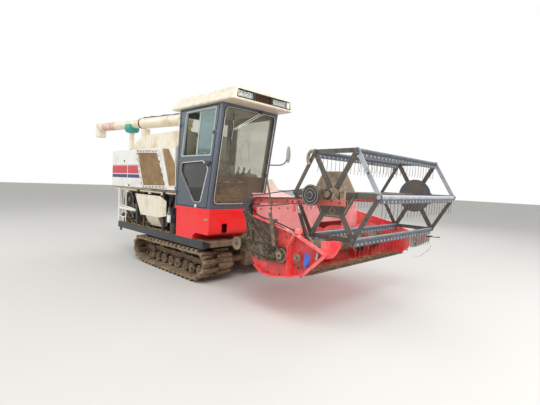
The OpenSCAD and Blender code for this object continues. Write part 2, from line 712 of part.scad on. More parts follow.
// Roof with sloping sides, lamps and a vent in its front
roof_rear = -260;
roof_front = 1130;
module cab_roof() {
    low = cab_eave_z + gap;
    color(cream) difference() {
        intersection() {
            profile([[roof_rear, low], [roof_front - 10, low], [roof_front, low + 30], [roof_front, roof_top_z],
                [roof_rear + 80, roof_top_z], [roof_rear, low + 30]], [-cab_side - 60, cab_inner_y + 20]);
            section([[-cab_side - 60, low], [cab_inner_y + 20, low], [cab_inner_y + 20, low + 30],
                [cab_inner_y - 50, roof_top_z], [-cab_side + 30, roof_top_z], [-cab_side - 60, low + 30]], [roof_rear, roof_front]);
        }
        for (y = lamp_y) block([roof_front - 60, roof_front + 10], y, lamp_z);
        block([roof_front - 40, roof_front + 10], [lamp_y[0][1] + 30, lamp_y[1][0] - 30], lamp_z);
    }
}
lamp_z = [cab_eave_z + 45, cab_eave_z + 125];
lamp_y = [[-919, -670], [-327, -48]];
module roof_lamps() {
    color(white) for (y = lamp_y)
        block([roof_front - 58, roof_front - 4], [y[0] + gap, y[1] - gap], [lamp_z[0] + gap, lamp_z[1] - gap]);
}
module seat() {
    color(black) {
        block([-20, 420], [-690, -230], [1380, 1480]);
        profile([[-110, 1420], [-20.3, 1420], [-50, 1960], [-120, 1960]], [-680, -240]);
    }
    color(slate) block([20, 380], [-640, -280], [base_top + gap, 1379.7]);
}
module console() {
    color(slate) {
        block([-60, 560], [-200, -15], [base_top + gap, 1560]);
        block([520, 600], [-660, -300], [base_top + gap, 1420]);
    }
    color(black) {
        bar([560, -480, 1420], [500, -480, 1650], 12);
        bar([200, -110, 1560], [215, -110, 1720], 9);
        bar([330, -110, 1560], [345, -110, 1720], 9);
    }
}
module wiper_arm() {
    x = cab_front_low + 6;
    color(black) translate([cab_front_low, 0, base_top]) rotate([0, front_lean, 0]) {
        rod_x(-450, 1360, 14, [0.3, 26]);
        bar([20, -450, 1360], [20, -640, 980], 5);
        bar([12, -600, 1062], [12, -700, 862], 6);
    }
}
module oval_mirror() {
    color(black) {
        block([715, 745], [cab_inner_y + 0.3, cab_inner_y + 12], [1685, 1715]);
        bar([730, cab_inner_y + 10, 1700], [940, 190, 1740], 9);
        block([926, 954], [176, 204], [1726, 1756]);
        bar([940, 190, 1745], [960, 210, 2010], 9);
    }
    color(white) {
        for (z = [1762, 1952]) rod_x(210, z, 45, [962, 982]);
        block([962, 982], [165, 255], [1762, 1952]);
    }
}

// Header. Positions in X and Z as it stands raised
lift_pivot = [200, 1290];
lift_base = [570, 520];
lift_eye = [1120, 620];
lift_y = 340;
lift_ears = [[lift_y - 50, lift_y - 36], [lift_y + 36, lift_y + 50]];
feeder_y = [thresher_inner + 14, thresher_inner + 14 + feeder_w - 20];
auger_at = [1930, 705];
trough_r = flight_r + 18;
floor_slope = 11.5;
header_y = header_w / 2;
floor_start = auger_at + trough_r * [sin(floor_slope), -cos(floor_slope)];
floor_end = [2330, floor_start[1] + (2330 - floor_start[0]) * tan(floor_slope)];
wall_top = [1660, 1160];
function trough_line(r, shift) = concat(
    [floor_end + shift * [0, -1]],
    arc(auger_at, r, floor_slope - 90, -180, 12),
    [wall_top + shift * [-1, 0]]
);
feeder_points = [
    [lift_pivot[0] - 60, lift_pivot[1]], [lift_pivot[0] - 30, lift_pivot[1] + 52], [lift_pivot[0] + 40, lift_pivot[1] + 50],
    [1640, 1010], [1760, 980], [1760, 545], [1600, 545], [182, 950]
];
// Height of the feeder house's underside at x
function feeder_low(x) = 950 - (x - 182) * (950 - 545) / (1600 - 182);
module behind_trough(y, g) {
    rod_y(auger_at[0], auger_at[1], trough_r + sheet_t + g, y);
    profile([
        [auger_at[0] - trough_r - sheet_t - g, auger_at[1]], [wall_top[0] - sheet_t - g, wall_top[1]],
        [auger_at[0] + 100, wall_top[1]], [auger_at[0] + 100, auger_at[1]]
    ], y);
}
module cab_fittings() {
    wiper_arm();
    oval_mirror();
}
module feeder_house() {
    color(faded_red) difference() {
        profile(feeder_points, feeder_y);
        profile([
            [120, 1284], [lift_pivot[0] + 34, lift_pivot[1] + 44], [1640, 1004], [1770, 976], [1770, 551], [1602, 551], [178, 957]
        ], [feeder_y[0] + wall, feeder_y[1] - wall]);
        behind_trough([feeder_y[0] - 1, feeder_y[1] + 1], gap);
        // Room for the two ears that carry its shaft
        for (y = [feeder_y[0] + 20, feeder_y[1] - 70])
            block([lift_pivot[0] - 70, lift_pivot[0] + 60], [y - 8, y + 22], [lift_pivot[1] - 120, lift_pivot[1] + 60]);
    }
    color(mud) {
        rod_y(lift_pivot[0], lift_pivot[1], 25, [feeder_y[0] - 20, feeder_y[1] + 20]);
        difference() {
            profile([
                [lift_eye[0] - 90, feeder_low(lift_eye[0] - 90) + 8], [lift_eye[0] + 90, feeder_low(lift_eye[0] + 90) + 8],
                [lift_eye[0] + 30, lift_eye[1] - 26], [lift_eye[0] - 30, lift_eye[1] - 26]
            ], [lift_ears[0][0], lift_ears[1][1]]);
            profile([
                [lift_eye[0] - 95, feeder_low(lift_eye[0] - 95) - 4], [lift_eye[0] + 95, feeder_low(lift_eye[0] + 95) - 4],
                [lift_eye[0] + 95, lift_eye[1] - 40], [lift_eye[0] - 95, lift_eye[1] - 40]
            ], [lift_ears[0][1], lift_ears[1][0]]);
        }
        // Bosses of the pin
        for (y = [[lift_ears[0][0] - 6, lift_ears[0][1] - 2], [lift_ears[1][0] + 2, lift_ears[1][1] + 6]])
            rod_y(lift_eye[0], lift_eye[1], 16, y);
    }
}
module header_trough() {
    color(faded_red) {
        difference() {
            profile(concat(
                trough_line(trough_r, 0),
                [for (i = [0:13]) trough_line(trough_r + sheet_t, sheet_t)[14 - i]]
            ), [-header_y, header_y]);
            block([1600, 1760], [feeder_y[0] + 20, feeder_y[1] - 20], [600, 940]);
        }
        block([wall_top[0] - 66, wall_top[0] - 4], [-header_y, header_y], [wall_top[1] - 60, wall_top[1] + 1]);
        block([wall_top[0] - 66, wall_top[0]], [-header_y, header_y], [wall_top[1], wall_top[1] + 8]);
    }
}
end_points = [
    [1520, 1180], [1530, 1250], [1590, 1250], [1605, 1085], [2235, 955], [2655, 795], [2390, 545], [2195, 485],
    [1975, 445], [1800, 455], [1680, 520], [1600, 600], [1372, 668], [1372, 785], [1520, 860]
];
reel_pivot = [1560, 1215];
module end_plate() {
    difference() {
        profile(end_points, [header_y + gap, header_y + sheet_t]);
        rod_y(reel_pivot[0], reel_pivot[1], 18 + gap, [header_y - 1, header_y + 10]);
        rod_y(auger_at[0], auger_at[1], 25 + gap, [header_y - 1, header_y + 10]);
        rod_y(drive_at[0], drive_at[1], 20 + gap, [header_y - 1, header_y + 10]);
    }
    // Rails round the plate
    y = [header_y + sheet_t, header_y + 50];
    profile([[1640, 1077.8], [2235, 955], [2655, 795], [2640, 780], [2230, 938], [1640, 1060]], y);
    profile([[2655, 795], [2390, 545], [2374, 560], [2632, 797]], y);
    profile([[2390, 545], [2195, 485], [1975, 445], [1800, 455], [1680, 520], [1690, 532], [1806, 468], [1973, 459],
        [2190, 500], [2380, 560]], [header_y + sheet_t, header_y + 40]);
    // Bent rib
    profile([[2276, 935], [2204, 800], [2211, 505], [2203, 500], [2196, 802], [2268, 938]], [header_y + sheet_t, header_y + 75]);
    // Pin of the reel cylinder
    rod_y(reel_base[0], reel_base[1], 11, [reel_cyl_y - 18, header_y]);
    // Curved nose inside the plate
    difference() {
        profile([[2560, 905], [2748, 925], [2752, 878], [2712, 806], [2671, 763], [2627, 746], [2560, 770]],
            [header_y - 40, header_y + gap]);
        profile([[2550, 897], [2741, 917], [2745, 880], [2706, 810], [2666, 769], [2625, 753], [2550, 778]],
            [header_y - 41, header_y - 6]);
    }
}
module header_ends() {
    color(red) both_sides() end_plate();
    // Divider at the left end with its point
    color(white) difference() {
        profile([[2500, 640], [2570, 650], [2747, 760], [2745, 800], [2500, 860]], [header_y + 45, header_y + 75]);
        profile([[2499, 620], [2572, 657], [2741, 763], [2739, 794], [2499, 853]], [header_y + 61, header_y + 76]);
    }
    color(mud) difference() {
        bar([2480, header_y + 62, 806], [2870, header_y + 62, 823], 11);
        translate([2870, header_y + 62, 823]) rotate([0, -8, 0]) block([-90, 10], [-20, 20], [4, 30]);
    }
}
module cutter_bar() {
    n = floor(header_w / guard_pitch);
    color(mud) translate([floor_end[0], 0, floor_end[1]]) rotate([0, -floor_slope, 0]) {
        block([gap * 2, 46], [-header_y + gap, header_y - gap], [-12, 6]);
        for (i = [0:n - 1]) translate([46, (i - (n - 1) / 2) * guard_pitch, -9])
            linear_extrude(14) polygon([[0, -16], [22, -13], [70, -3], [78, 0], [70, 3], [22, 13], [0, 16]]);
        translate([0, 0, 6.5]) linear_extrude(3) polygon(concat(
            [[16, header_y - 40], [16, -header_y + 40]],
            [for (i = [0:n - 2]) each [
                [46, (i - (n - 1) / 2) * guard_pitch + 4], [92, (i + 0.5 - (n - 1) / 2) * guard_pitch - 8],
                [92, (i + 0.5 - (n - 1) / 2) * guard_pitch + 8], [46, (i + 1 - (n - 1) / 2) * guard_pitch - 4]
            ]]
        ));
    }
}

// Belt and chain drives on the header's right end
drive_at = [1413, 725];
relay_at = [1548, 1090];
idle_at = [1590, 790];
drum_at = [2088, 696];
crank_at = [2315, 712];
module header_drives() {
    y = -header_y - sheet_t;
    color(mud) {
        rod_y(drive_at[0], drive_at[1], 20, [y - 62, feeder_y[0] - gap]);
        pulley(drive_at[0], drive_at[1], 75, [y - 60, y - 44], 26);
        rod_y(drive_at[0], drive_at[1], 40, [y - 38, y - 20]);
        // Relay sprockets of the two chains
        rod_y(relay_at[0], relay_at[1], 14, [y - 64, y - gap]);
        rod_y(relay_at[0], relay_at[1], 44, [y - 14, y - 2]);
        rod_y(relay_at[0], relay_at[1], 30, [y - 60, y - 50]);
        rod_y(idle_at[0], idle_at[1], 14, [y - 20, y - gap]);
        rod_y(idle_at[0], idle_at[1], 38, [y - 14, y - 2]);
        // Drum with spokes, and the sprocket on its shaft
        difference() {
            pulley(drum_at[0], drum_at[1], 76, [y - 40, y - 16], 26);
            for (k = [0:4]) translate([drum_at[0], 0, drum_at[1]]) rotate([0, k * 72, 0])
                rod_y(42, 0, 13, [y - 41, y - 15]);
        }
        rod_y(drum_at[0], drum_at[1], 16, [y - 66, y - gap]);
        rod_y(drum_at[0], drum_at[1], 42, [y - 60, y - 50]);
        // Crank of the knife
        pulley(crank_at[0], crank_at[1], 38, [y - 56, y - 34], 50);
        rod_y(crank_at[0], crank_at[1], 14, [y - 60, y - gap]);
        strap(crank_at + [4, -20], [2333, 615], 16, [y - 33, y - 25]);
        rod_y(2333, 618, 15, [y - 40, y - gap]);
        // Chain case with its hub
        difference() {
            union() {
                profile([[1645, 800], [1700, 836], [2000, 836], [2003, 760], [1990, 612], [1730, 592], [1645, 610]], [y - 16, y - gap]);
                rod_y(1853, 704, 24, [y - 26, y - 15]);
            }
            rod_y(auger_at[0], auger_at[1], 26, [y - 30, y]);
        }
        // Upright of the lift's hose guide
        strap([1942, 1125], [2020, 785], 44, [y - 72, y - 62]);
        rod_y(1995, 812, 12, [y - 63, y - 15]);
    }
    color(black) {
        belt(drive_at, drum_at, 40 + gap, 76 + gap, 9, [y - 36, y - 22]);
        belt(relay_at, idle_at, 44 + gap, 38 + gap, 9, [y - 12, y - 4]);
        belt(relay_at, drum_at, 30 + gap, 42 + gap, 8, [y - 59, y - 51]);
    }
}

// Platform auger: a tube with flights of opposite hands and fingers before the feeder's mouth
module flight(len, hand) {
    linear_extrude(len, twist = hand * 360 * len / flight_pitch, slices = round(len / flight_pitch * 36))
        polygon([[auger_tube_r - 4, -6], [flight_r, -3], [flight_r, 3], [auger_tube_r - 4, 6]]);
}
mouth_mid = (feeder_y[0] + feeder_y[1]) / 2;
module platform_auger() {
    color(faded_red) translate([auger_at[0], 0, auger_at[1]]) {
        rod_y(0, 0, auger_tube_r, [-header_y + 8, header_y - 8]);
        translate([0, -header_y + 12, 0]) rotate([-90, 0, 0]) flight(header_y + mouth_mid - 200, 1);
        translate([0, header_y - 12, 0]) rotate([90, 0, 0]) flight(header_y - mouth_mid - 200, 1);
    }
    color(steel) translate([auger_at[0], 0, auger_at[1]]) {
        rod_y(0, 0, 25, [-header_y - 81, header_y + 81]);
        for (i = [0:5]) rotate([0, i * 60, 0]) translate([0, mouth_mid - 160 + i * 64, 0]) rod_z(0, 0, 8, [auger_tube_r - 3, flight_r - 4]);
    }
}

// Reel arms, swinging on a cross tube
reel_at = [2582, 1346];
arm_y = [header_y - 50, header_y - 26];
reel_eye = [2165, 1250];
reel_base = [2330, 880];
reel_cyl_y = header_y - 78;
arm_end = [2770, 1278];
reel_pulley = [2450, 1332];
module reel_arms() {
    color(red) both_sides() {
        difference() {
            union() {
                strap(reel_pivot + [-28, 17], arm_end, 60, arm_y);
                strap([2745, 1262], [2745, 1388], 44, [arm_y[0] + 1, arm_y[1] - 1]);
                profile([[2390, 1268], [2425, 1356], [2560, 1398], [2612, 1398], [2692, 1281]], [arm_y[0] + 2, arm_y[1] - 2]);
                rod_y(reel_pivot[0], reel_pivot[1], 44, [arm_y[0] - 2, arm_y[1] + 2]);
                rod_y(reel_at[0], reel_at[1], 52, [arm_y[0] - 2, arm_y[1] + 2]);
                rod_y(reel_eye[0], reel_eye[1], 14, [arm_y[1] - 2, arm_y[1] + 8]);
            }
            rod_y(reel_at[0], reel_at[1], 30 + gap, [arm_y[0] - 3, arm_y[1] + 3]);
        }
    }
    color(black) {
        rod_y(reel_pivot[0], reel_pivot[1], 24, [-header_y + 4, header_y - 4]);
        rod_y(reel_pivot[0], reel_pivot[1], 18, [-header_y - 70, header_y + 14]);
    }
    // Belt drive of the reel along the right arm
    color(slate) {
        rod_y(reel_pivot[0], reel_pivot[1], 56, [-header_y - 42, -header_y - 22]);
        rod_y(reel_pivot[0], reel_pivot[1], 64, [-header_y - 66, -header_y - 52]);
        rod_y(reel_pulley[0], reel_pulley[1], 64, [-header_y - 42, -header_y - 22]);
        pulley(reel_pulley[0], reel_pulley[1], 100, [-header_y - 64, -header_y - 48], 40);
        rod_y(reel_pulley[0], reel_pulley[1], 14, [-header_y - 72, -arm_y[1] + 2]);
    }
    color(black) belt(reel_pivot, reel_pulley, 56 + gap, 64 + gap, 9, [-header_y - 40, -header_y - 24]);
}

// Reel: shaft, end discs and hexagons of flat bars
reel_end = reel_w / 2;
vertex = [for (k = [0:5]) reel_at + reel_r * [cos(k * 60), sin(k * 60)]];
module reel_frame() {
    color(slate) {
        rod_y(reel_at[0], reel_at[1], 30, [-header_y + 4, header_y - 16]);
        rod_y(reel_at[0], reel_at[1], disc_r, [reel_end - 23, reel_end - 18.5]);
        translate([reel_at[0], 13.5 - reel_end, reel_at[1]]) rotate([-90, 0, 0]) cylinder(r = hub_plate_r, h = 8, $fn = 6);
        both_sides() {
            difference() {
                union() {
                    for (k = [0:5]) {
                        strap(reel_at, vertex[k], 54, [reel_end - 14, reel_end - 8]);
                        strap(vertex[k], vertex[(k + 1) % 6], 44, [reel_end - 19, reel_end - 13.5]);
                    }
                    for (k = [0:5]) rod_y(vertex[k][0], vertex[k][1], tine_bar_r + 7, [reel_end - 20, reel_end - 7]);
                    rod_y(reel_at[0], reel_at[1], 70, [reel_end - 24, reel_end - 4]);
                }
                for (k = [0:5]) rod_y(vertex[k][0], vertex[k][1], tine_bar_r + gap, [reel_end - 30, reel_end]);
            }
        }
    }
}

// Tine bar k: a tube with a flat rail below it, from which the tines hang
module tine_bar(k) {
    n = floor((reel_w - 160) / tine_pitch);
    low = -tine_bar_r - tine_rail_h + 4;
    color(steel) translate([vertex[k][0], 0, vertex[k][1]]) {
        rod_y(0, 0, tine_bar_r, [-reel_end, reel_end]);
        block([-3, 3], [-reel_end + 40, reel_end - 40], [low, -tine_bar_r + 3]);
    }
    color(black) translate([vertex[k][0], 0, vertex[k][1]])
        for (i = [0:n]) translate([-5, (i - n / 2) * tine_pitch, low + 14]) rotate([0, 180 + 4, 0])
            cylinder(r = 3.5, h = tine_len, $fn = 6);
}
module tine_bar_1() tine_bar(0);
module tine_bar_2() tine_bar(1);
module tine_bar_3() tine_bar(2);
module tine_bar_4() tine_bar(3);
module tine_bar_5() tine_bar(4);
module tine_bar_6() tine_bar(5);

// Hydraulic cylinders between two pins, in X and Z at y
module barrel(a, b, y, r, len, eye, pin) {
    d = b - a;
    translate([a[0], y, a[1]]) rotate([0, -atan2(d[1], d[0]), 0]) difference() {
        union() {
            rod_y(0, 0, eye, [-r + 4, r - 4]);
            rod_x(0, 0, r, [eye - 6, len]);
        }
        rod_y(0, 0, pin + gap, [-r - 1, r + 1]);
        rod_x(0, 0, r * 0.55 + gap, [eye + 14, len + 1]);
    }
}
// The rod with its eye and the pin in it
module piston(a, b, y, r, eye, start, pin, pin_y) {
    d = b - a;
    translate([a[0], y, a[1]]) rotate([0, -atan2(d[1], d[0]), 0]) {
        rod_x(0, 0, r * 0.55, [start, norm(d) - eye + 4]);
        rod_y(norm(d), 0, eye, [-r + 4, r - 4]);
        rod_y(norm(d), 0, pin, pin_y);
    }
}
module header_cylinder() color(black) barrel(lift_base, lift_eye, lift_y, 30, 330, 30, 20);
module header_rod() color(steel) piston(lift_base, lift_eye, lift_y, 30, 24, 250, 16, [-35, 35]);
module reel_cylinders() color(black)
    both_sides() barrel(reel_base, reel_eye, reel_cyl_y, 18, 285, 20, 11);
module reel_rods() color(steel)
    both_sides() piston(reel_base, reel_eye, reel_cyl_y, 18, 18, 130, 10, [-18, arm_y[0] - reel_cyl_y - 1]);

// Unloading auger: a turret that turns on the tank's roof and a tube that tips up on it
unload_at = [-560, -600];
unload_yaw = 9.9;
spout_len = 190;
module auger_turret() {
    color(cream) translate([unload_at[0], unload_at[1], 0]) {
        rod_z(0, 0, 105, [roof_z(unload_at[0] + 105) + gap, tank_top_z + 22]);
        rod_z(0, 0, 92, [tank_top_z + 20, unload_z - unload_root_r - 14]);
        rotate([0, 0, 180 + unload_yaw]) difference() {
            both_sides() {
                profile([
                    [-60, unload_z - unload_root_r - 30], [60, unload_z - unload_root_r - 30], [40, unload_z + 30], [-40, unload_z + 30]
                ], [88, 98]);
                block([-60, 60], [40, 98], [unload_z - unload_root_r - 30, unload_z - unload_root_r - 14]);
            }
            rod_y(0, unload_z, 20 + gap, [-100, 100]);
        }
    }
}
unload_joint = 1124;   // where the outer tube starts
module unloading_auger() {
    translate([unload_at[0], unload_at[1], unload_z]) rotate([0, 0, 180 + unload_yaw]) {
        color(cream) {
            difference() {
                union() {
                    rod_y(0, 0, unload_root_r, [-82, 82]);
                    rod_x(0, 0, unload_root_r * 0.84, [0, 120]);
                    rod_x(0, 0, unload_root_r, [75, unload_joint]);
                    rod_x(0, 0, unload_root_r + 3, [unload_joint - 26, unload_joint - 2]);
                }
                rod_x(0, 0, unload_tube_r - 6, [110, unload_joint + 1]);
            }
            rod_y(0, 0, 20, [-98, 98]);
        }
        color(cream) difference() {
            rod_x(0, 0, unload_tube_r, [unload_joint + 0.3, unload_len - 60]);
            rod_x(0, 0, unload_tube_r - 6, [unload_joint, unload_len - 66]);
        }
        color(cream) difference() {
            block([unload_len - 130, unload_len], [-72, 72], [-spout_len, 70]);
            block([unload_len - 122, unload_len - 8], [-64, 64], [-spout_len - 1, 40]);
        }
    }
}

main_frame();
drive_axle();
track_frames();
track_rollers();
sprockets();
track_right();
track_left();
engine();
lower_drives();
thresher();
grain_tank();
side_panels();
screen_door();
auger_posts();
cab_base();
front_step();
cab_frame();
cab_roof();
roof_lamps();
cab_glass();
cab_door();
door_glass();
seat();
console();
cab_fittings();
feeder_house();
header_trough();
header_ends();
cutter_bar();
header_drives();
platform_auger();
reel_arms();
reel_frame();
tine_bar_1();
tine_bar_2();
tine_bar_3();
tine_bar_4();
tine_bar_5();
tine_bar_6();
header_cylinder();
header_rod();
reel_cylinders();
reel_rods();
auger_turret();
unloading_auger();
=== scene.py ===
"""Looks of a rubber-tracked combine harvester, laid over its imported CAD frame.

Every piece is in metres in the frame of the CAD: +X forward to the header, +Y to the machine's
left, +Z up, origin on the ground below the middle of the overall box.
"""
import random
from math import asin, atan2, cos, hypot, pi, radians, sin, tan

import bmesh
import bpy
from mathutils import Matrix, Vector


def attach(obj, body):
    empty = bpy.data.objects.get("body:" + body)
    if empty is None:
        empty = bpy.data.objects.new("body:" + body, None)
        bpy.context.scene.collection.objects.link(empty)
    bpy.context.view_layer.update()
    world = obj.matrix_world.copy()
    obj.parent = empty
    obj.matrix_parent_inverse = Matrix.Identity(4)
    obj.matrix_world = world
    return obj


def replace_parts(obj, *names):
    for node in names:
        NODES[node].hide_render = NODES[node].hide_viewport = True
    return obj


bl_info = {
    "name": "Tracked combine harvester",
    "version": (1, 0, 0),
    "blender": (4, 5, 0),
    "location": "3D View > Sidebar > Harvester",
    "description": "Dresses the packed frame of a tracked combine harvester",
    "category": "Object",
}

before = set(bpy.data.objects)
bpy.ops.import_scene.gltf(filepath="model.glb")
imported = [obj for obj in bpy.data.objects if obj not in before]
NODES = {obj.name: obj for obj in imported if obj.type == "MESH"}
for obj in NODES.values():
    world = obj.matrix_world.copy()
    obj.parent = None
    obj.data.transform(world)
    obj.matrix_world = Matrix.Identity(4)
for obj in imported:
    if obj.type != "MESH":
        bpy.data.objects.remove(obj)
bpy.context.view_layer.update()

# Colours and node trees

MATERIALS = {}


def linear(code):
    """An sRGB hex colour as linear RGBA."""
    channels = [int(code[i:i + 2], 16) / 255 for i in (1, 3, 5)]
    return tuple(c / 12.92 if c <= 0.04045 else ((c + 0.055) / 1.055) ** 2.4 for c in channels) + (1.0,)


def add_node(tree, kind, inputs=None, **settings):
    """Adds a node with its settings; an input is a value, or a socket to link."""
    node = tree.nodes.new(kind)
    for key, value in settings.items():
        setattr(node, key, value)
    for key, value in (inputs or {}).items():
        if isinstance(value, bpy.types.NodeSocket):
            tree.links.new(value, node.inputs[key])
        else:
            node.inputs[key].default_value = value
    return node


def blank_material(name, **constants):
    """A material with a Principled shader, constants on its sockets, and object coordinates in metres."""
    material = bpy.data.materials.new(name)
    material.use_nodes = True
    tree = material.node_tree
    tree.nodes.clear()
    shader = add_node(tree, "ShaderNodeBsdfPrincipled",
        {k.replace("_", " "): v for k, v in constants.items()})
    add_node(tree, "ShaderNodeOutputMaterial", {"Surface": shader.outputs[0]})
    place = add_node(tree, "ShaderNodeTexCoord").outputs["Object"]
    MATERIALS[name] = material
    return tree, shader, place


def noise(tree, place, size_mm, detail=4.0, stretch=None, rough=0.55, seed=0.0):
    """Noise whose features are about size_mm across, in 0 to 1; stretch lengthens them along each axis."""
    if stretch or seed:
        inverse = tuple(1 / s for s in (stretch or (1, 1, 1)))
        place = add_node(tree, "ShaderNodeMapping",
            {"Vector": place, "Location": (seed, seed * 0.7, -seed), "Scale": inverse}).outputs[0]
    return add_node(tree, "ShaderNodeTexNoise",
        {"Vector": place, "Scale": 1000 / size_mm, "Detail": detail, "Roughness": rough}).outputs["Fac"]


def mask(tree, value, low, high):
    """value as a mask that rises from 0 at low to 1 at high."""
    return add_node(tree, "ShaderNodeMapRange",
        {"Value": value, "From Min": low, "From Max": high}).outputs[0]


def times(tree, a, b, kind="MULTIPLY"):
    return add_node(tree, "ShaderNodeMath", {0: a, 1: b}, operation=kind, use_clamp=True).outputs[0]


def over(tree, share, under, top):
    """top laid over under by share; the colours are hex codes or sockets."""
    under, top = (linear(c) if isinstance(c, str) else c for c in (under, top))
    mix = add_node(tree, "ShaderNodeMix", data_type="RGBA")
    for key, value in (("Factor", share), ("A", under), ("B", top)):
        socket = [s for s in mix.inputs if s.name == key
            and s.type in (("VALUE",) if key == "Factor" else ("RGBA",))][0]
        if isinstance(value, bpy.types.NodeSocket):
            tree.links.new(value, socket)
        else:
            socket.default_value = value
    return [s for s in mix.outputs if s.type == "RGBA"][0]


def level(tree, share, low, high):
    """A number from low to high by share."""
    return add_node(tree, "ShaderNodeMapRange", {"Value": share, "To Min": low, "To Max": high}).outputs[0]


def facing_up(tree):
    """1 on faces that look up, where dust and straw chaff settle on the enamel and where the tubes get a
    painted highlight.
    """
    normal = add_node(tree, "ShaderNodeNewGeometry").outputs["Normal"]
    return mask(tree, add_node(tree, "ShaderNodeSeparateXYZ", {0: normal}).outputs["Z"], 0.35, 0.9)


def bump(tree, shader, value, depth_mm, strength=1.0):
    node = add_node(tree, "ShaderNodeBump", {"Height": value, "Distance": depth_mm / 1000,
        "Strength": strength})
    tree.links.new(node.outputs[0], shader.inputs["Normal"])


def finish_material(tree, shader, colour, rough):
    tree.links.new(colour, shader.inputs["Base Color"])
    tree.links.new(rough, shader.inputs["Roughness"])


def weathered(name, pattern, share, under, top, rough, relief=None, **constants):
    """A material that one patchy noise turns from under to top, by a share, and roughens: pattern is (size
    in mm, detail, low, high), rough the roughness in and out of the patches, and relief (size in mm,
    detail, depth in mm, strength) a finer noise."""
    tree, shader, place = blank_material(name, **constants)
    size_mm, detail, low, high = pattern
    patches = mask(tree, noise(tree, place, size_mm, detail), low, high)
    amount = times(tree, patches, share) if share < 1 else patches
    finish_material(tree, shader, over(tree, amount, under, top), level(tree, patches, *rough))
    if relief:
        bump(tree, shader, noise(tree, place, *relief[:2]), *relief[2:])


def paint(label, where, code):
    """A colour property, given as an sRGB hex code."""
    return bpy.props.FloatVectorProperty(name=label, description=where, subtype="COLOR", size=4, min=0,
        max=1, default=linear(code))


class HarvesterSettings(bpy.types.PropertyGroup):
    """Colours, wear and sizes to set before the pieces are made"""

    cream: paint("Cream", "Enamel of the roof, the tank and the unloader", "#ece3cb")
    white: paint("White", "Enamel of the side panels", "#efeee9")
    red: paint("Red", "Enamel of the cab's base", "#fb1418")
    header_red: paint("Header red", "Enamel of the header's end plates", "#f8122a")
    slate: paint("Slate", "Enamel of the cab's frame and door", "#4f5866")
    teal: paint("Teal", "Enamel of the unloader's saddle", "#0d9c90")
    stripe_red: paint("Upper stripe", "Film on the side panels", "#cc1c34")
    stripe_navy: paint("Lower stripe", "Film on the side panels", "#1f2b60")
    wear: bpy.props.FloatProperty(name="Wear", description="Strength of stains and chips", default=1, min=0,
        max=1.5)
    dust: bpy.props.FloatProperty(name="Dust", description="Strength of the dust on faces that look up",
        default=1, min=0, max=1.5)
    tine_wire: bpy.props.FloatProperty(name="Tine wire", description="Radius of a reel tine's wire",
        default=0.0023, min=0.0015, max=0.0035, unit="LENGTH")
    guard_width: bpy.props.FloatProperty(name="Guard width",
        description="Width of a knife guard at its root", default=0.046, min=0.02, max=0.06, unit="LENGTH")
    caught_stalks: bpy.props.IntProperty(name="Caught stalks",
        description="Stalks that lie on the header's floor", default=170, min=0, max=600)
    cab_stalks: bpy.props.IntProperty(name="Cab stalks",
        description="Stalks in the straw on the cab's floor", default=700, min=0, max=1500)


def baked_enamel(name, colour, faded, fade=0.5, stain="#7a6247", stains=0.5, dust=0.5, chips=0.2,
        gloss=0.32, patch_mm=700, mud=None, grease=None):
    """Stove enamel on pressed sheet: sun-bleached in soft patches, rain-streaked, dusty on top, chipped to
    primer. mud is (height, height) and grease ((x, x), (z, z)), from where it is thickest to where it
    ends, in metres."""
    settings = bpy.context.scene.harvester
    stains, dust, chips = stains * settings.wear, dust * settings.dust, chips * settings.wear
    tree, shader, place = blank_material(name, IOR=1.5, Coat_Weight=0.12, Coat_Roughness=0.2)
    patches = mask(tree, noise(tree, place, patch_mm, 3), 0.35, 0.7)
    base = over(tree, times(tree, patches, fade), colour, faded)
    base = over(tree, times(tree, noise(tree, place, 40, 5), 0.12), base, faded)
    # rain streaks are some 30 mm wide and 300 mm long
    streaks = mask(tree, noise(tree, place, 45, 4, stretch=(1, 1, 9), seed=3.1), 0.56, 0.74)
    blots = mask(tree, noise(tree, place, 260, 6, seed=7.7), 0.52, 0.72)
    dirt = times(tree, times(tree, streaks, blots, "MAXIMUM"), stains)
    base = over(tree, dirt, base, stain)
    settled = times(tree, facing_up(tree), times(tree, mask(tree, noise(tree, place, 90, 6), 0.3, 0.65),
        dust))
    base = over(tree, settled, base, "#a08c6a")
    where = add_node(tree, "ShaderNodeSeparateXYZ", {0: place}).outputs
    if mud:
        splash = add_node(tree, "ShaderNodeMath", {0: noise(tree, place, 90, 7), 1: 0.5, 2: where["Z"]},
            operation="MULTIPLY_ADD").outputs[0]
        base = over(tree, times(tree, mask(tree, splash, mud[1] + 0.25, mud[0] + 0.25), 0.85), base,
            "#7c6850")
    if grease:
        caked = mask(tree, noise(tree, place, 110, 7, rough=0.62, seed=2.2), 0.2, 0.62)
        for axis, (full, none) in zip("XZ", grease):
            caked = times(tree, caked, mask(tree, where[axis], none, full))
        base = over(tree, mask(tree, caked, 0.12, 0.5), base, "#4d3a2c")
        base = over(tree, mask(tree, caked, 0.45, 0.9), base, "#6e5b45")
    flakes = mask(tree, noise(tree, place, 14, 6, rough=0.7, seed=1.3), 0.7 - 0.08 * chips, 0.73)
    flakes = times(tree, flakes, mask(tree, noise(tree, place, 320, 3, seed=9.9), 0.5, 0.62))
    base = over(tree, times(tree, flakes, min(1.0, chips * 2)), base, "#5b3a2a")
    rough = level(tree, times(tree, dirt, times(tree, settled, flakes, "MAXIMUM"), "MAXIMUM"), gloss, 0.8)
    finish_material(tree, shader, base, rough)
    # orange peel about 3 mm across and soft dents about 300 mm across
    ripple = times(tree, noise(tree, place, 3, 2), 0.08)
    dents = add_node(tree, "ShaderNodeMath", {0: noise(tree, place, 300, 2, seed=5.0),
        1: ripple}).outputs[0]
    bump(tree, shader, dents, 6.0, 0.35)


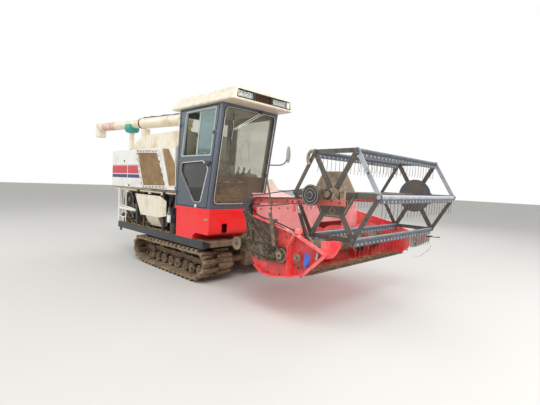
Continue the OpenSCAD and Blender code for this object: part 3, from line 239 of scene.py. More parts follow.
def make_materials(settings):
    # Body colours: sun and rain have bleached the cream least and the header's red most
    baked_enamel("cream_enamel", tuple(settings.cream), "#f5f0e2", 0.5, "#c09c68", 0.55, 0.2, 0.25)
    baked_enamel("white_enamel", tuple(settings.white), "#f8f7f3", 0.4, "#a58c62", 0.32, 0.2, 0.2)
    baked_enamel("red_enamel", tuple(settings.red), "#ff4644", 0.35, "#9a5a50", 0.42, 0.25, 0.45,
        mud=(0.5, 0.58))
    baked_enamel("header_red_enamel", tuple(settings.header_red), "#ffa6a0", 0.6, "#84423a", 0.35, 0.35,
        0.9, patch_mm=260)
    baked_enamel("greasy_red_enamel", "#e0202a", "#ee7a74", 0.5, "#5d3328", 0.6, 0.4, 0.9, patch_mm=260,
        grease=((1.93, 2.06), (0.66, 0.56)))
    baked_enamel("floor_red_enamel", "#f60c2c", "#ff5a6c", 0.4, "#6d3a2e", 0.35, 0.35, 0.5, patch_mm=400)
    baked_enamel("dusty_red_enamel", "#c2403c", "#d6827a", 0.6, "#5f4a3a", 0.6, 0.6, 0.6, gloss=0.5)
    baked_enamel("bleached_red_enamel", "#f78482", "#ffc2c0", 0.85, "#a8604c", 0.25, 0.35, 0.45,
        patch_mm=420)
    baked_enamel("slate_enamel", tuple(settings.slate), "#5b6470", 0.5, "#7d7466", 0.25, 0.3, 0.15,
        gloss=0.38)
    baked_enamel("black_enamel", "#1f2124", "#33363a", 0.5, "#6b5a45", 0.5, 0.6, 0.4, gloss=0.45)
    baked_enamel("frame_enamel", "#22262d", "#343a43", 0.5, "#6b5a45", 0.4, 0.5, 0.4, gloss=0.42)
    baked_enamel("pulley_enamel", "#2b2a29", "#4a4743", 0.5, "#6b5a45", 0.5, 0.5, 0.4, gloss=0.5)
    baked_enamel("console_enamel", "#30343a", "#4a4e52", 0.5, "#7a6b52", 0.4, 0.6, 0.2, gloss=0.5)
    baked_enamel("blue_enamel", "#2a5ed2", "#5d86dc", 0.5, "#6b5a45", 0.4, 0.4, 0.4)
    baked_enamel("teal_enamel", tuple(settings.teal), "#3fb3a8", 0.4, "#6b5a45", 0.25, 0.3, 0.2)
    baked_enamel("teal_grey_enamel", "#5f7d7b", "#8fa5a0", 0.5, "#6b5a45", 0.4, 0.3, 0.2)
    baked_enamel("grey_enamel", "#b4b8b8", "#cccfcd", 0.5, "#7d6e58", 0.3, 0.3, 0.3)
    # painted shade: colours the underside of the side panels' turned-in foot
    baked_enamel("painted_shade_brown_enamel", "#a8977a", "#b9aa8d", 0.6, "#6d5538", 0.7, 0.7, 0.4, gloss=0.6)
    baked_enamel("dusty_brown_steel", "#8d7c68", "#a3927c", 0.6, "#54402e", 0.8, 0.5, 0.6, gloss=0.5)
    baked_enamel("dark_reel_steel", "#4b4640", "#6a6258", 0.5, "#2d2620", 0.7, 0.5, 0.6, gloss=0.45)
    baked_enamel("slate_disc_steel", "#4a4d58", "#646673", 0.5, "#7d6a4f", 0.5, 0.5, 0.5, gloss=0.5)
    baked_enamel("dusty_grey_steel", "#8a8782", "#a3a09a", 0.5, "#5f4d3b", 0.6, 0.5, 0.4, gloss=0.5)
    baked_enamel("grey_green_channel", "#a9b3ac", "#bfc6bf", 0.5, "#6b6f62", 0.4, 0.3, 0.2, gloss=0.4)
    baked_enamel("spot_paint", "#5fa35a", "#8fbf87", 0.5, "#6b5a45", 0.3, 0.2, 0.3)

    # Adhesive stripe films: flat colour gone chalky, scuffed at the edges
    for name, colour, faded in (("stripe_red", tuple(settings.stripe_red), "#d64a58"),
            ("stripe_navy", tuple(settings.stripe_navy), "#3c4778"),
            ("stripe_dark_red", "#8c2f2c", "#a85b53")):
        baked_enamel(name, colour, faded, 0.3, "#8b7757", 0.2, 0.15, 0.15, gloss=0.4)
    baked_enamel("faded_band_film", "#d9837a", "#f0e3d4", 1.0, "#a8805c", 0.35, 0.3, 0.4, gloss=0.5,
        patch_mm=75)

    # Steel of the undercarriage and drives: caked with dried soil, the high spots worn to brown metal
    for name, soil, bare, caked in (("soiled_steel", "#8a745c", "#3a322b", 0.75),
            ("rusty_steel", "#7b5138", "#4a2f24", 0.6), ("rusty_red_steel", "#9a7a66", "#5d4335", 0.6),
            ("dusty_iron", "#8a7762", "#37332f", 0.6), ("greasy_iron", "#4d4034", "#221f1c", 0.45),
            ("roller_iron", "#b09c82", "#5c4e41", 0.55)):
        tree, shader, place = blank_material(name, Metallic=0.0, IOR=1.5)
        cake = mask(tree, noise(tree, place, 70, 8, rough=0.65), 0.62 - 0.35 * caked, 0.72 - 0.2 * caked)
        base = over(tree, noise(tree, place, 25, 6), bare, "#57483a")
        base = over(tree, cake, base, soil)
        base = over(tree, times(tree, mask(tree, noise(tree, place, 9, 5, seed=2), 0.5, 0.75), 0.5), base,
            "#948062")
        finish_material(tree, shader, base, level(tree, cake, 0.55, 0.95))
        bump(tree, shader, noise(tree, place, 16, 8, rough=0.65), 5.0, 0.7)

    # Vulcanised rubber of the belts: grey-brown with dried mud, clods up to 30 mm in its hollows
    tree, shader, place = blank_material("muddy_belt_rubber", IOR=1.5)
    mud = mask(tree, noise(tree, place, 120, 8, rough=0.62), 0.28, 0.55)
    base = over(tree, noise(tree, place, 12, 5), "#2f2b27", "#413a32")
    base = over(tree, mud, base, "#917a60")
    base = over(tree, times(tree, mask(tree, noise(tree, place, 30, 6, seed=4), 0.5, 0.7), 0.7), base,
        "#b39a7c")
    finish_material(tree, shader, base, level(tree, mud, 0.7, 0.97))
    bump(tree, shader, noise(tree, place, 22, 8, rough=0.65), 8.0, 0.8)

    # Extruded black rubber: matt, slightly chalky
    weathered("black_rubber", (60, 5, 0.4, 0.75), 0.5, "#17181a", "#4c4a46", (0.6, 0.85), (4, 3, 0.4, 0.5),
        IOR=1.5)

    # Toughened sheet glass, faintly green, under a film of field dust; on the side glass the film is thick
    # and greenish, a painted reflection
    for name, tint, dust, film in (("tinted_glass", "#eef1ea", "#b0a890", 0.17),
            ("side_glass", "#b8d2d0", "#86a8a6", 0.32), ("low_glass", "#8f9698", "#8f9088", 0.12)):
        tree, shader, place = blank_material(name, IOR=1.5, Transmission_Weight=1.0, Roughness=0.02)
        shader.inputs["Base Color"].default_value = linear(tint)
        dusty = add_node(tree, "ShaderNodeBsdfDiffuse", {"Color": linear(dust)})
        cloud = level(tree, noise(tree, place, 180, 6), film * 0.4, film * 1.5)
        both = add_node(tree, "ShaderNodeMixShader", {0: cloud, 1: shader.outputs[0], 2: dusty.outputs[0]})
        tree.links.new(both.outputs[0], [n for n in tree.nodes
            if n.type == "OUTPUT_MATERIAL"][0].inputs["Surface"])

    # Moulded red plastic of the rear lamps, ribbed inside
    tree, shader, place = blank_material("lamp_red", IOR=1.5, Coat_Weight=0.5)
    ribs = add_node(tree, "ShaderNodeTexWave", {"Vector": place, "Scale": 40.0},
        bands_direction="Z").outputs["Fac"]
    finish_material(tree, shader, over(tree, times(tree, ribs, 0.4), "#b3141a", "#e2444a"),
        level(tree, ribs, 0.15, 0.35))
    bump(tree, shader, ribs, 0.6, 0.4)

    # Vacuum-plated reflector of the roof lamps
    weathered("lamp_chrome", (30, 4, 0.4, 0.75), 0.3, "#e3e5e8", "#b5ac98", (0.12, 0.4), Metallic=1.0)
    # Natural light rubber of the lower window's seal, yellowed and grubby in its folds
    weathered("pale_rubber", (45, 6, 0.45, 0.7), 0.6, "#dddcd4", "#8f8672", (0.55, 0.8), (4, 3, 0.3, 0.4),
        IOR=1.5)
    # Spring steel of the tines and the knife: dark and rusty by turns, polished where the crop rubs
    weathered("tine_steel", (22, 7, 0.4, 0.65), 0.5, "#6d665d", "#57463a", (0.35, 0.6), (5, 5, 0.5, 0.5),
        Metallic=0.6)
    weathered("worn_blade_steel", (22, 7, 0.4, 0.65), 0.5, "#9a958d", "#7a523a", (0.35, 0.6),
        (5, 5, 0.5, 0.5), Metallic=0.6)
    # Steel roller chain, black with old oil and dust, its plates rubbed bright at the pins
    weathered("greasy_chain", (14, 6, 0.35, 0.6), 1.0, "#8c8377", "#3a3129", (0.35, 0.8), (6, 5, 0.6, 0.5),
        Metallic=0.7)
    # Woven wire of the air screens, its openings clogged with chaff dust
    weathered("dusty_wire", (110, 7, 0.35, 0.65), 1.0, "#a98a62", "#cfae80", (0.7, 0.95), (6, 5, 1.0, 0.6),
        IOR=1.5)
    # Sheet behind the screens and in the bay, dark with soot, oil and chaff; the black one is painted
    # shade, in the air screen's slots and on the bay's back wall, and the brown one colours the straw heap
    # and is painted shade under the side panels' turned-in foot
    for name, colour, caked in (("painted_shade_black", "#1c1b1a", "#3c352c"), ("shade_and_soot_brown", "#4a3a29", "#86694a"),
            ("soot_tan", "#7c6244", "#a98c66")):
        weathered(name, (60, 7, 0.4, 0.7), 1.0, colour, caked, (0.7, 0.95), (14, 6, 2.0, 0.6), IOR=1.5)
    # Hard chrome on a ground rod, with a smear of old grease
    weathered("ground_chrome", (35, 4, 0.5, 0.7), 0.5, "#c9cbcc", "#6b6152", (0.12, 0.5), Metallic=1.0)
    # Moulded ABS of the controls
    weathered("moulded_abs", (80, 5, 0.45, 0.75), 0.5, "#2b2d30", "#6a6458", (0.45, 0.7),
        (2.5, 2, 0.2, 0.5), IOR=1.5)

    # Moulded rubber of the drive belts: black, dusty, its back frayed
    tree, shader, place = blank_material("belt_rubber", IOR=1.5)
    fray = mask(tree, noise(tree, place, 10, 5, stretch=(4, 1, 4)), 0.5, 0.75)
    finish_material(tree, shader, over(tree, times(tree, fray, 0.6), "#1f1d1b", "#6d5f4d"),
        level(tree, fray, 0.6, 0.9))
    bump(tree, shader, fray, 0.8, 0.5)

    # Drawn aluminium of the gauges' rims: fine lines along one axis
    tree, shader, place = blank_material("drawn_aluminium", Metallic=0.75)
    lines = noise(tree, place, 4, 3, stretch=(30, 30, 1))
    finish_material(tree, shader, over(tree, times(tree, lines, 0.5), "#cfd0cc", "#a39f94"),
        level(tree, lines, 0.3, 0.5))
    bump(tree, shader, lines, 0.2, 0.4)

    # Field soil dried on the machine, and dry rice straw
    tree, shader, place = blank_material("dried_mud", IOR=1.5)
    grit = noise(tree, place, 7, 6)
    finish_material(tree, shader, over(tree, grit, "#75604a", "#a48c6f"), level(tree, grit, 0.85, 1.0))
    bump(tree, shader, grit, 2.0, 0.7)
    tree, shader, place = blank_material("dry_straw", IOR=1.5, Sheen_Weight=0.15)
    stalks = noise(tree, place, 18, 6)
    finish_material(tree, shader, over(tree, mask(tree, stalks, 0.35, 0.7), "#c4a76e", "#92723f"),
        level(tree, stalks, 0.6, 0.85))
    bump(tree, shader, noise(tree, place, 5, 4), 1.0, 0.6)

    # Clear pressed glass of the lamps
    tree, shader, place = blank_material("lamp_glass", IOR=1.5, Transmission_Weight=0.85)
    flutes = add_node(tree, "ShaderNodeTexWave", {"Vector": place, "Scale": 14.0},
        bands_direction="Y").outputs["Fac"]
    finish_material(tree, shader, over(tree, times(tree, noise(tree, place, 40), 0.3), "#eef0ee",
        "#c9c3b2"), level(tree, flutes, 0.08, 0.25))
    bump(tree, shader, flutes, 1.5, 0.4)

    # Drawn steel tube, once zinc plated, weathered to a dull light grey; the faces that look up are
    # lighter, a painted highlight, and the third steel is a lit copy for the near members, also a painted
    # highlight
    for name, plated, bare, highlight_top in (("dull_zinc_steel", "#c6cacc", "#857b6d", "#cfcabd"),
            ("slate_tube_steel", "#5d6571", "#4a4640", "#aeb3b8"),
            ("painted_highlight_steel", "#aeb3b9", "#7d8289", "#d4d6d8")):
        tree, shader, place = blank_material(name, Metallic=0.45)
        spots = mask(tree, noise(tree, place, 50, 6), 0.45, 0.7)
        base = over(tree, times(tree, spots, 0.6), plated, bare)
        # lighter tops: a painted highlight
        base = over(tree, times(tree, facing_up(tree), 0.7), base, highlight_top)
        finish_material(tree, shader, base, level(tree, spots, 0.42, 0.75))
        bump(tree, shader, noise(tree, place, 8, 4), 0.5, 0.5)

    # Expanded vinyl on the seat: soft grain of about 2 mm, drawn at 5 mm so that it shows
    tree, shader, place = blank_material("grained_vinyl", IOR=1.5, Sheen_Weight=0.1)
    grain = add_node(tree, "ShaderNodeTexVoronoi", {"Vector": place, "Scale": 200.0}).outputs["Distance"]
    finish_material(tree, shader, over(tree, noise(tree, place, 120, 5), "#1d1d1f", "#3b3934"),
        level(tree, grain, 0.5, 0.7))
    bump(tree, shader, grain, 0.5, 0.6)


CAD_FINISH = {
    "cream_enamel": ("thresher", "grain_tank", "side_panels", "auger_posts", "cab_roof", "auger_turret",
        "unloading_auger"),
    "white_enamel": ("screen_door",),
    "red_enamel": ("cab_base",),
    "header_red_enamel": ("header_ends",),
    "bleached_red_enamel": ("feeder_house", "header_trough", "platform_auger"),
    "slate_enamel": ("cab_frame", "cab_door"),
    "black_enamel": ("main_frame", "reel_arms", "reel_frame", "header_cylinder", "reel_cylinders"),
    "soiled_steel": ("drive_axle", "track_frames", "track_rollers", "sprockets", "front_step"),
    "muddy_belt_rubber": ("track_right", "track_left"),
    "dusty_iron": ("engine", "lower_drives", "header_drives"),
    "rusty_steel": ("cutter_bar",),
    "tinted_glass": ("cab_glass",),
    "side_glass": ("door_glass",),
    "lamp_glass": ("roof_lamps",),
    "grained_vinyl": ("seat",),
    "moulded_abs": ("console", "cab_fittings"),
    "ground_chrome": ("header_rod", "reel_rods"),
    "dull_zinc_steel": tuple("tine_bar_%d" % k for k in range(1, 7)),
}


class HARVESTER_OT_finishes(bpy.types.Operator):
    """Makes the materials and lays them on the CAD nodes that stay in view"""

    bl_idname = "harvester.finishes"
    bl_label = "Finishes"

    def execute(self, context):
        make_materials(context.scene.harvester)
        for name, nodes in CAD_FINISH.items():
            for node in nodes:
                mesh = NODES[node].data
                mesh.materials.clear()
                mesh.materials.append(MATERIALS[name])
        return {"FINISHED"}


# Faces that many pieces stand on, in metres
SIDE_Y = -0.96  # outer face of the right side, from the door to the rear panels
THRESHER_Y, COVER_Y, THRESHER_TOP_Z = 0.9299, 0.9478, 1.4995
REAR_X = -2.5695
CAB_FLOOR_Z, FRAME_TOP_Z = 1.0455, 0.6005

# Shapes


def placed(name, bm, finish, body, stands_for=(), crease=35, round_mm=0.0, steps=2, zones=()):
    """A bmesh as a finished piece that rides on a body; it may stand for CAD nodes and have rounded
    edges."""
    bmesh.ops.remove_doubles(bm, verts=bm.verts, dist=1e-6)
    bmesh.ops.recalc_face_normals(bm, faces=bm.faces)
    finishes = [finish] + [z[0] for z in zones]
    for face in bm.faces:
        centre = face.calc_center_median()
        for k, (_, inside) in enumerate(zones):
            if inside(centre):
                face.material_index = k + 1
    mesh = bpy.data.meshes.new(name)
    bm.to_mesh(mesh)
    bm.free()
    return made(name, mesh, finishes, body, stands_for, crease, round_mm, steps)


def made(name, mesh, finish, body, stands_for=(), crease=35, round_mm=0.0, steps=2):
    if mesh.materials:
        mesh.materials.clear()
    for one in [finish] if isinstance(finish, str) else finish:
        mesh.materials.append(MATERIALS[one])
    mesh.shade_smooth()
    mesh.set_sharp_from_angle(angle=radians(crease))
    piece = bpy.data.objects.new(name, mesh)
    bpy.context.scene.collection.objects.link(piece)
    if round_mm:
        edge = piece.modifiers.new("rounded", "BEVEL")
        edge.width = round_mm / 1000
        edge.segments = steps
        edge.limit_method = "ANGLE"
        edge.angle_limit = radians(30)
        edge.harden_normals = True
    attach(piece, body)
    if stands_for:
        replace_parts(piece, *stands_for)
    return piece


def dressed(node, finish, body, round_mm=3.0, zones=(), keep=None, within=(), seams=(), shape=None):
    """A welded copy of a CAD node with rounded edges, which stands for it. zones are (finish, test of a
    face's centre); keep is a test of a loose part's centre and size, and the parts that fail it are made
    anew elsewhere; within are planes, as (point, normal), beyond which it is cut away and closed; seams
    are planes that only split its faces; shape moves a vertex."""
    bm = bmesh.new()
    bm.from_mesh(NODES[node].data)
    bmesh.ops.remove_doubles(bm, verts=bm.verts, dist=2e-5)
    if keep is not None:
        for part in loose_parts(bm):
            low, high = span(v.co for v in part)
            if not keep((low + high) / 2, high - low):
                bmesh.ops.delete(bm, geom=part, context="VERTS")
    for point, normal in within:
        bmesh.ops.bisect_plane(bm, geom=bm.verts[:] + bm.edges[:] + bm.faces[:], plane_co=point,
            plane_no=normal, clear_outer=True)
        bmesh.ops.holes_fill(bm, edges=[e for e in bm.edges if e.is_boundary], sides=0)
    bmesh.ops.dissolve_limit(bm, angle_limit=radians(0.6), verts=bm.verts, edges=bm.edges)
    for point, normal in seams:
        bmesh.ops.bisect_plane(bm, geom=bm.verts[:] + bm.edges[:] + bm.faces[:], plane_co=point,
            plane_no=normal)
    for v in bm.verts if shape else ():
        shape(v.co)
    return placed(node + "_skin", bm, finish, body, (node,), round_mm=round_mm, zones=zones)


def loose_parts(bm):
    seen, parts = set(), []
    for start in list(bm.verts):
        if start in seen:
            continue
        part, stack = [], [start]
        seen.add(start)
        while stack:
            v = stack.pop()
            part.append(v)
            for edge in v.link_edges:
                other = edge.other_vert(v)
                if other not in seen:
                    seen.add(other)
                    stack.append(other)
        parts.append(part)
    return parts


def box(bm, low, high, turn=None, about=None):
    """A block between two corners; turn is a Matrix about a point."""
    low, high = Vector(low), Vector(high)
    made_verts = bmesh.ops.create_cube(bm, size=1.0)["verts"]
    bmesh.ops.scale(bm, verts=made_verts, vec=high - low)
    bmesh.ops.translate(bm, verts=made_verts, vec=(low + high) / 2)
    if turn is not None:
        bmesh.ops.rotate(bm, verts=made_verts, cent=Vector(about or (0, 0, 0)), matrix=turn)
    return made_verts


def rod(bm, a, b, r, sides=16, r2=None):
    """A round bar, or a cone, from a to b."""
    a, b = Vector(a), Vector(b)
    verts = bmesh.ops.create_cone(bm, segments=sides, radius1=r, radius2=r if r2 is None else r2,
        depth=(b - a).length, cap_ends=True)["verts"]
    turn = (b - a).to_track_quat("Z", "Y").to_matrix()
    bmesh.ops.rotate(bm, verts=verts, cent=(0, 0, 0), matrix=turn)
    bmesh.ops.translate(bm, verts=verts, vec=(a + b) / 2)
    return verts


def turned(bm, outline, at, axis, sides=32):
    """A closed body of revolution: outline is (radius, height) along the axis from at."""
    before = set(bm.verts)
    verts = [bm.verts.new((r, 0, h)) for r, h in outline]
    edges = [bm.edges.new((verts[i], verts[(i + 1) % len(verts)])) for i in range(len(verts))]
    bmesh.ops.spin(bm, geom=verts + edges, cent=(0, 0, 0), axis=(0, 0, 1), angle=2 * pi, steps=sides,
        use_merge=True)
    fresh = [v for v in bm.verts if v not in before]
    bmesh.ops.remove_doubles(bm, verts=fresh, dist=1e-6)
    fresh = [v for v in bm.verts if v not in before]
    bmesh.ops.rotate(bm, verts=fresh, cent=(0, 0, 0),
        matrix=Vector(axis).to_track_quat("Z", "Y").to_matrix())
    bmesh.ops.translate(bm, verts=fresh, vec=Vector(at))
    return fresh


def bolt(bm, at, axis, size=0.01, washer=True):
    """A hexagon head with its washer, standing on a face at a point; size is half the width over
    corners."""
    at, axis = Vector(at), Vector(axis).normalized()
    if washer:
        rod(bm, at, at + axis * size * 0.25, size * 1.35, 12)
    rod(bm, at, at + axis * size * 0.95, size, 6)


def around(centre, r, angle):
    """The point (x, z) at a distance from centre, by an angle from forward to up."""
    return centre[0] + r * cos(angle), centre[1] + r * sin(angle)


def bolts(bm, spots, y, side, size=0.009, washer=True):
    """Bolts at spots (x, z) of a face that looks along y to one side."""
    for x, z in spots:
        bolt(bm, (x, y, z), (0, side, 0), size, washer)


def bolt_ring(bm, centre, y, side, r, count, size, first=0.0, washer=True):
    """Bolts round a centre (x, z) of a face that looks along y to one side; first is the first one's
    angle."""
    bolts(bm, [around(centre, r, first + k * 2 * pi / count) for k in range(count)], y, side, size, washer)


def ring(bm, inner, outer, width, at, axis, sides=40):
    """A flat ring or collar that stands on a point and reaches width along the axis."""
    return turned(bm, [(inner, 0), (outer, 0), (outer, width), (inner, width)], at, axis, sides)


def clod(bm, chance, r, most, stretch, at):
    """A crumb of dried soil: a small ball with its points pulled in or out, then stretched."""
    verts = bmesh.ops.create_icosphere(bm, subdivisions=1, radius=r)["verts"]
    for v in verts:
        v.co *= chance.uniform(0.7, most)
    bmesh.ops.scale(bm, verts=verts, vec=stretch)
    bmesh.ops.translate(bm, verts=verts, vec=at)


def direction(chance, *ranges):
    """A chance direction, given the range of each axis."""
    return Vector([chance.uniform(*r) for r in ranges]).normalized()


def stalk(bm, chance, at, along, lengths, r=None, radii=None):
    """A straw from a point, of a chance length and, if radii are given, of a chance radius."""
    end = at + along * chance.uniform(*lengths)
    rod(bm, at, end, chance.uniform(*radii) if radii else r, 4)


def plate(bm, outline, y0, y1):
    """A plate whose outline is (x, z) points in a side plane, between two values of y."""
    face = bm.faces.new([bm.verts.new((x, y0, z)) for x, z in outline])
    out = bmesh.ops.extrude_face_region(bm, geom=[face])["geom"]
    moved = [g for g in out if isinstance(g, bmesh.types.BMVert)]
    bmesh.ops.translate(bm, verts=moved, vec=(0, y1 - y0, 0))
    return list(face.verts) + moved


def span(points):
    """The lowest and highest corner of some points."""
    points = list(points)
    return [Vector([pick(p[i] for p in points) for i in range(len(points[0]))]) for pick in (min, max)]


def rim(bm, outer, inner, to_space, depth):
    """A flat frame between two outlines of one count; to_space makes a point of (a, b), depth is a
    vector."""
    loops = []
    for outline in (outer, inner):
        verts = [bm.verts.new(to_space(a, b)) for a, b in outline]
        loops += [bm.edges.new((verts[i], verts[(i + 1) % len(verts)])) for i in range(len(verts))]
    faces = bmesh.ops.bridge_loops(bm, edges=loops)["faces"]
    out = bmesh.ops.extrude_face_region(bm, geom=faces)["geom"]
    moved = [g for g in out if isinstance(g, bmesh.types.BMVert)]
    bmesh.ops.translate(bm, verts=moved, vec=Vector(depth))


def wire(name, paths, radius, finish, body, closed=False, smooth=False, sides=3):
    """Round wire, pipe or seal along one or more paths, as a mesh."""
    curve = bpy.data.curves.new(name, "CURVE")
    curve.dimensions = "3D"
    curve.bevel_depth = radius
    curve.bevel_resolution = sides
    curve.use_fill_caps = not closed
    for path in paths:
        if smooth:
            line = curve.splines.new("BEZIER")
            line.bezier_points.add(len(path) - 1)
            for point, co in zip(line.bezier_points, path):
                point.co = co
                point.handle_left_type = point.handle_right_type = "AUTO"
            line.resolution_u = 6
        else:
            line = curve.splines.new("POLY")
            line.points.add(len(path) - 1)
            for point, co in zip(line.points, path):
                point.co = tuple(co) + (1.0,)
        line.use_cyclic_u = closed
    holder = bpy.data.objects.new(name + "_line", curve)
    bpy.context.scene.collection.objects.link(holder)
    bpy.context.view_layer.update()
    mesh = bpy.data.meshes.new_from_object(holder.evaluated_get(bpy.context.evaluated_depsgraph_get()))
    mesh.name = name
    bpy.data.objects.remove(holder)
    bpy.data.curves.remove(curve)
    return made(name, mesh, finish, body, crease=50)


def rounded(points, radius, steps=5):
    """A closed outline of (a, b) points with each corner rounded."""
    out = []
    n = len(points)
    for i in range(n):
        before, here, after = (Vector(points[(i + k) % n]) for k in (-1, 0, 1))
        u, v = (before - here), (after - here)
        half = u.angle(v) / 2
        cut = min(radius / tan(half), u.length * 0.45, v.length * 0.45)
        a, b = here + u.normalized() * cut, here + v.normalized() * cut
        for k in range(steps + 1):
            t = k / steps
            out.append(tuple(a * (1 - t) ** 2 + here * 2 * t * (1 - t) + b * t * t))
    return out


def grown(points, d):
    """A convex outline of (a, b) points moved outwards by d."""
    centre = sum((Vector(p) for p in points), Vector((0, 0))) / len(points)
    out = []
    n = len(points)
    for i in range(n):
        before, here, after = (Vector(points[(i + k) % n]) for k in (-1, 0, 1))
        normals = []
        for a, b in ((before, here), (here, after)):
            e = (b - a).normalized()
            nrm = Vector((e.y, -e.x))
            if nrm.dot((a + b) / 2 - centre) < 0:
                nrm = -nrm
            normals.append(nrm)
        s = normals[0] + normals[1]
        out.append(tuple(here + s * (d / max(0.3, s.dot(normals[0])))))
    return out


# Undercarriage

TRACK_MID = 0.715
ROLLER_X = (-1.12, -0.93, -0.74, -0.52, -0.33, -0.11, 0.08, 0.285)
ROLLER_Z, ROLLER_R = 0.1355, 0.0745
SPROCKET = (0.415, 0.277)
IDLER = (-1.355, 0.243)
HUB_FACE = TRACK_MID + 0.1205  # outer ends of the rollers' hubs


def roller_disc(bm, x, y, z, r, out):
    """Pressed roller: a rolled rim, a sunk web and a sealed hub with its plug; out is +1 or -1 along y."""
    outline = [(0.001, 0.0), (r * 0.96, 0.0), (r, 0.004), (r, 0.034), (r * 0.95, 0.038), (r * 0.84, 0.038),
        (r * 0.78, 0.026), (r * 0.56, 0.023), (r * 0.5, 0.036), (r * 0.46, 0.04), (r * 0.2, 0.04),
        (r * 0.17, 0.046), (0.001, 0.046)]
    turned(bm, outline, (x, y, z), (0, out, 0), 28)


def make_undercarriage():
    for node in ("track_right", "track_left"):
        dressed(node, "muddy_belt_rubber", "chassis", 5, zones=(("black_rubber", lambda c: c.z < 0.03),))
    # the outer side plates are left off, so that the rollers show as they do on the real machine
    dressed("track_frames", "soiled_steel", "chassis", 4,
        within=(((0, HUB_FACE, 0), (0, 1, 0)), ((0, -HUB_FACE, 0), (0, -1, 0))))
    dressed("sprockets", "soiled_steel", "chassis", 3)
    dressed("drive_axle", "soiled_steel", "chassis", 4)
    dressed("main_frame", "frame_enamel", "chassis", 5)
    bm = bmesh.new()
    # the upper run of the belt slopes from the sprocket's top to the idler's
    upper_rise = (0.277 + 0.13 - 0.243 - 0.145) / (0.415 + 1.355)
    for side in (-1, 1):
        for x in ROLLER_X:
            for out in (-1, 1):
                roller_disc(bm, x, side * TRACK_MID + out * 0.078, ROLLER_Z, ROLLER_R, out)
            rod(bm, (x, side * TRACK_MID - 0.08, ROLLER_Z), (x, side * TRACK_MID + 0.08, ROLLER_Z), 0.04,
                20)
        for x in (-0.82, -0.17):
            z = 0.388 + (x + 1.355) * upper_rise - 0.0485
            for out in (-1, 1):
                roller_disc(bm, x, side * TRACK_MID + out * 0.078, z, 0.047, out)
            rod(bm, (x, side * TRACK_MID - 0.08, z), (x, side * TRACK_MID + 0.08, z), 0.026, 16)
        x, z = IDLER
        for out in (-1, 1):
            outline = [(0.001, 0.0), (0.14, 0.0), (0.1445, 0.005), (0.1445, 0.026), (0.14, 0.032),
                (0.124, 0.032), (0.112, 0.016), (0.062, 0.012), (0.05, 0.05), (0.044, 0.056),
                (0.001, 0.056)]
            turned(bm, outline, (x, side * TRACK_MID, z), (0, out, 0), 40)
            bolt_ring(bm, IDLER, side * TRACK_MID + out * 0.0135, out, 0.078, 6, 0.011)
    placed("track_wheels", bm, "roller_iron", "chassis", ("track_rollers",))

    bm = bmesh.new()
    for side in (-1, 1):
        out = side * (HUB_FACE + 0.003)
        for x in ROLLER_X:
            # lock nut and plug at each roller's axle
            rod(bm, (x, out - side * 0.006, ROLLER_Z), (x, out + side * 0.006, ROLLER_Z), 0.02, 6)
            rod(bm, (x, out, ROLLER_Z), (x, out + side * 0.009, ROLLER_Z), 0.01, 10)
            for lug in (-1, 1):
                plate(bm, [(x - 0.036, 0.212), (x + 0.036, 0.212), (x + 0.02, ROLLER_Z - 0.02),
                    (x - 0.02, ROLLER_Z - 0.02)], side * TRACK_MID + lug * 0.05, side * TRACK_MID
                    + lug * 0.062)
        # tensioner of the idler: a threaded rod with two nuts
        y = side * TRACK_MID
        rod(bm, (-1.13, y, 0.243), (-0.86, y, 0.262), 0.016, 12)
        for x in (-1.09, -1.05):
            rod(bm, (x, y, 0.246), (x + 0.022, y, 0.248), 0.03, 6)
        bolt_ring(bm, SPROCKET, side * (TRACK_MID + 0.032), side, 0.062, 8, 0.009)
        rod(bm, (SPROCKET[0], side * (TRACK_MID + 0.055), SPROCKET[1]),
            (SPROCKET[0], side * (TRACK_MID + 0.074), SPROCKET[1]), 0.03, 24, 0.024)
    placed("track_hardware", bm, "soiled_steel", "chassis", round_mm=1)

    # Dried clods that hang on the belts and frames
    bm = bmesh.new()
    chance = random.Random(7)
    for _ in range(150):
        side = chance.choice((-1, 1))
        x = chance.uniform(-1.1, 0.3)
        z = chance.choice((0.212, 0.29))
        y = side * (TRACK_MID + chance.uniform(-0.04, 0.12 if z < 0.25 else 0.04))
        clod(bm, chance, chance.uniform(0.008, 0.022), 1.2, (1.4, 1.0, 0.6), (x, y, z))
    placed("dried_clods", bm, "dried_mud", "chassis", crease=180)


class HARVESTER_OT_undercarriage(bpy.types.Operator):
    """Rubber belts, rollers, idlers, sprockets, track frames and the main frame"""

    bl_idname = "harvester.undercarriage"
    bl_label = "Undercarriage"

    def execute(self, context):
        make_undercarriage()
        return {"FINISHED"}


# Cab

CAB_LEAN = atan2(0.23, 1.385)
DOOR_WINDOW = [(0.049, 2.381), (0.755, 2.381), (0.66, 1.764), (-0.063, 1.761)]
DOOR_LOW_WINDOW = [(-0.044, 1.667), (0.482, 1.688), (0.602, 1.594), (0.443, 1.132), (0.272, 1.135),
    (-0.064, 1.537)]
LAMP_SPANS = ((-0.919, -0.67), (-0.327, -0.048))
SCREEN_OUTLINE = [(-0.91, 0.075), (-0.01, 0.075), (-0.01, 1.364), (-0.91, 1.364)]


def on_front(y, up, out=0.0):
    """A point on the leaning front of the cab: across, up the slope and outwards."""
    s, c = sin(CAB_LEAN), cos(CAB_LEAN)
    return Vector((0.65 + up * s + out * c, y, 1.045 + up * c - out * s))


def on_side(y):
    return lambda x, z: Vector((x, y, z))


def pane(name, outline, y0, y1, finish, body, stands_for=()):
    bm = bmesh.new()
    plate(bm, outline, y0, y1)
    return placed(name, bm, finish, body, stands_for, round_mm=0.8, steps=1)


